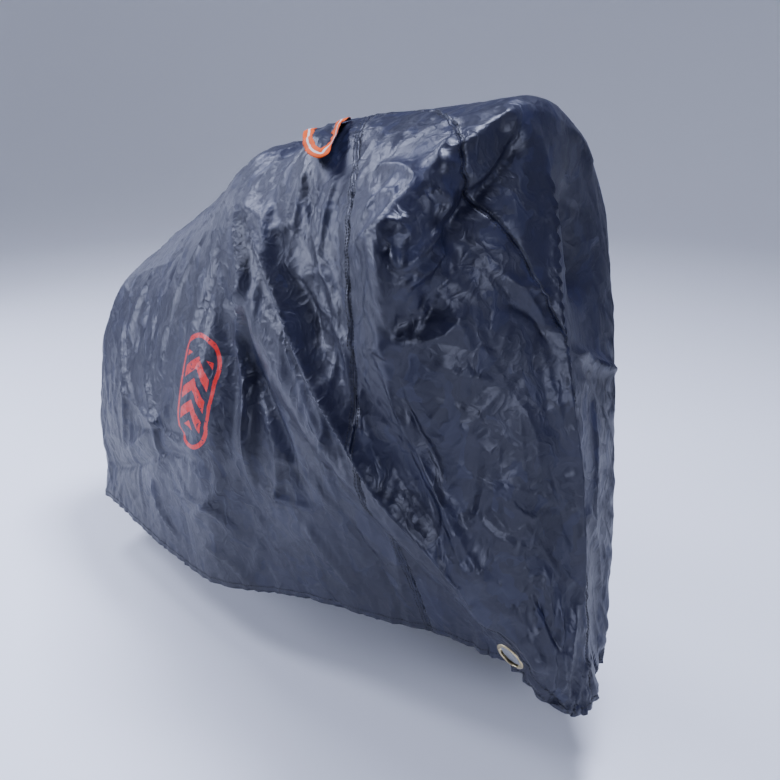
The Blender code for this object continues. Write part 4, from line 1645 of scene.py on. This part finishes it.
@dataclass
class Studio:
    """A plain pale floor, soft light and the camera."""

    eye: tuple[float, float, float] = (1.33985, -1.3101, 0.17599)
    looks: tuple[float, float, float] = (-0.686, 0.627, -0.370)
    lens: float = 43.85
    floor: float = -1.274
    floor_radius: float = 5.0
    sweep: float = 3.0  # radius of the curve between the floor and the wall
    wall: float = 1.5  # straight height above it
    middle: tuple[float, float, float] = (-0.25, -0.1, -0.55)  # what the lamps face
    room: tuple[str, float] = ("e8eefc", 0.05)  # its colour and strength
    lamps: tuple[Lamp, ...] = (
        Lamp("overhead", 60, 75, 260),
        Lamp("right rear low", -140, 12, 85),
        Lamp("right rear high", -140, 45, 75),
        Lamp("tail low", 180, 12, 12),
        Lamp("tail high", 180, 45, 70),
        Lamp("front low", -20, 12, 60),
    )

    def camera(self) -> None:
        """Places the camera."""
        data = bpy.data.cameras.new("camera")
        data.lens = self.lens
        data.sensor_width = 36.0
        camera = link("camera", data)
        camera.location = self.eye
        camera.rotation_euler = Vector(self.looks).to_track_quat("-Z", "Y").to_euler()
        bpy.context.scene.camera = camera

    def ground(self) -> None:
        """Lays the floor, which sweeps up into a round wall."""
        mesh = bmesh.new()
        turns = [math.radians(a) for a in range(0, 91, 10)]
        out, up = self.floor_radius, self.sweep
        profile = [(0.0, 0.0)] + [(out + up * math.sin(a), up * (1 - math.cos(a))) for a in turns]
        profile.append((out + up, up + self.wall))
        verts = [mesh.verts.new((x, 0.0, self.floor + z)) for x, z in profile]
        edges = [mesh.edges.new(pair) for pair in zip(verts, verts[1:])]
        bmesh.ops.spin(
            mesh,
            geom=verts + edges,
            cent=(0, 0, 0),
            axis=(0, 0, 1),
            angle=math.tau,
            steps=96,
            use_merge=True,
        )
        bmesh.ops.remove_doubles(mesh, verts=mesh.verts, dist=1e-5)
        bmesh.ops.recalc_face_normals(mesh, faces=mesh.faces[:])
        data = bpy.data.meshes.new("floor")
        mesh.to_mesh(data)
        mesh.free()
        data.shade_smooth()
        data.materials.append(SeamlessPaper().material())
        link("floor", data)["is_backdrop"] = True

    def lamp(self, lamp: Lamp) -> None:
        """Hangs one soft square light that faces the cover.

        Args:
            lamp: Its place and strength.
        """
        data = bpy.data.lights.new(lamp.name, "AREA")
        data.shape = "SQUARE"
        data.size = lamp.size
        data.energy = lamp.power
        data.color = linear(lamp.colour)[:3]
        light = link(lamp.name, data)
        middle = Vector(self.middle)
        turn, rise = math.radians(lamp.turn), math.radians(lamp.rise)
        level = math.cos(rise)
        light.location = middle + lamp.away * Vector(
            (level * math.cos(turn), level * math.sin(turn), math.sin(rise))
        )
        light.rotation_euler = (middle - light.location).to_track_quat("-Z", "Y").to_euler()
        light.visible_camera = False

    def sky(self) -> None:
        """Gives the room its even pale light."""
        world = bpy.data.worlds.new("room")
        world.use_nodes = True
        background = world.node_tree.nodes["Background"]
        background.inputs["Color"].default_value = linear(self.room[0])
        background.inputs["Strength"].default_value = self.room[1]
        bpy.context.scene.world = world

    def build(self) -> None:
        """Sets everything up."""
        self.camera()
        self.ground()
        self.sky()
        for lamp in self.lamps:
            self.lamp(lamp)


def tell(name: str, low: Vector, high: Vector) -> dict[str, list[float]]:
    """One box as plain lists.

    Args:
        name: What the box is.
        low: Its lowest corner.
        high: Its highest corner.

    Returns:
        The box under its name.
    """
    return {name: [list(map(float, low)), list(map(float, high))]}


def main() -> None:
    """Builds the cover in order."""
    logging.basicConfig(level=logging.INFO, format="%(message)s")
    FRAME.update(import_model())
    sizes = tell("cad", *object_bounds())
    Studio().build()
    workshop = Workshop()
    cloth = CoverCloth(workshop)
    cloth.build()
    Stitching(workshop, cloth).build()
    for side in ("right", "left"):
        AirVent(workshop, cloth, side).build()
    for name in ("right_eyelet", "left_eyelet"):
        FRAME["nodes"][name].data.materials[0] = workshop.material(Finish.NICKEL)
    sizes.update(tell("final", *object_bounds()))


if __name__ == "__main__":
    main()
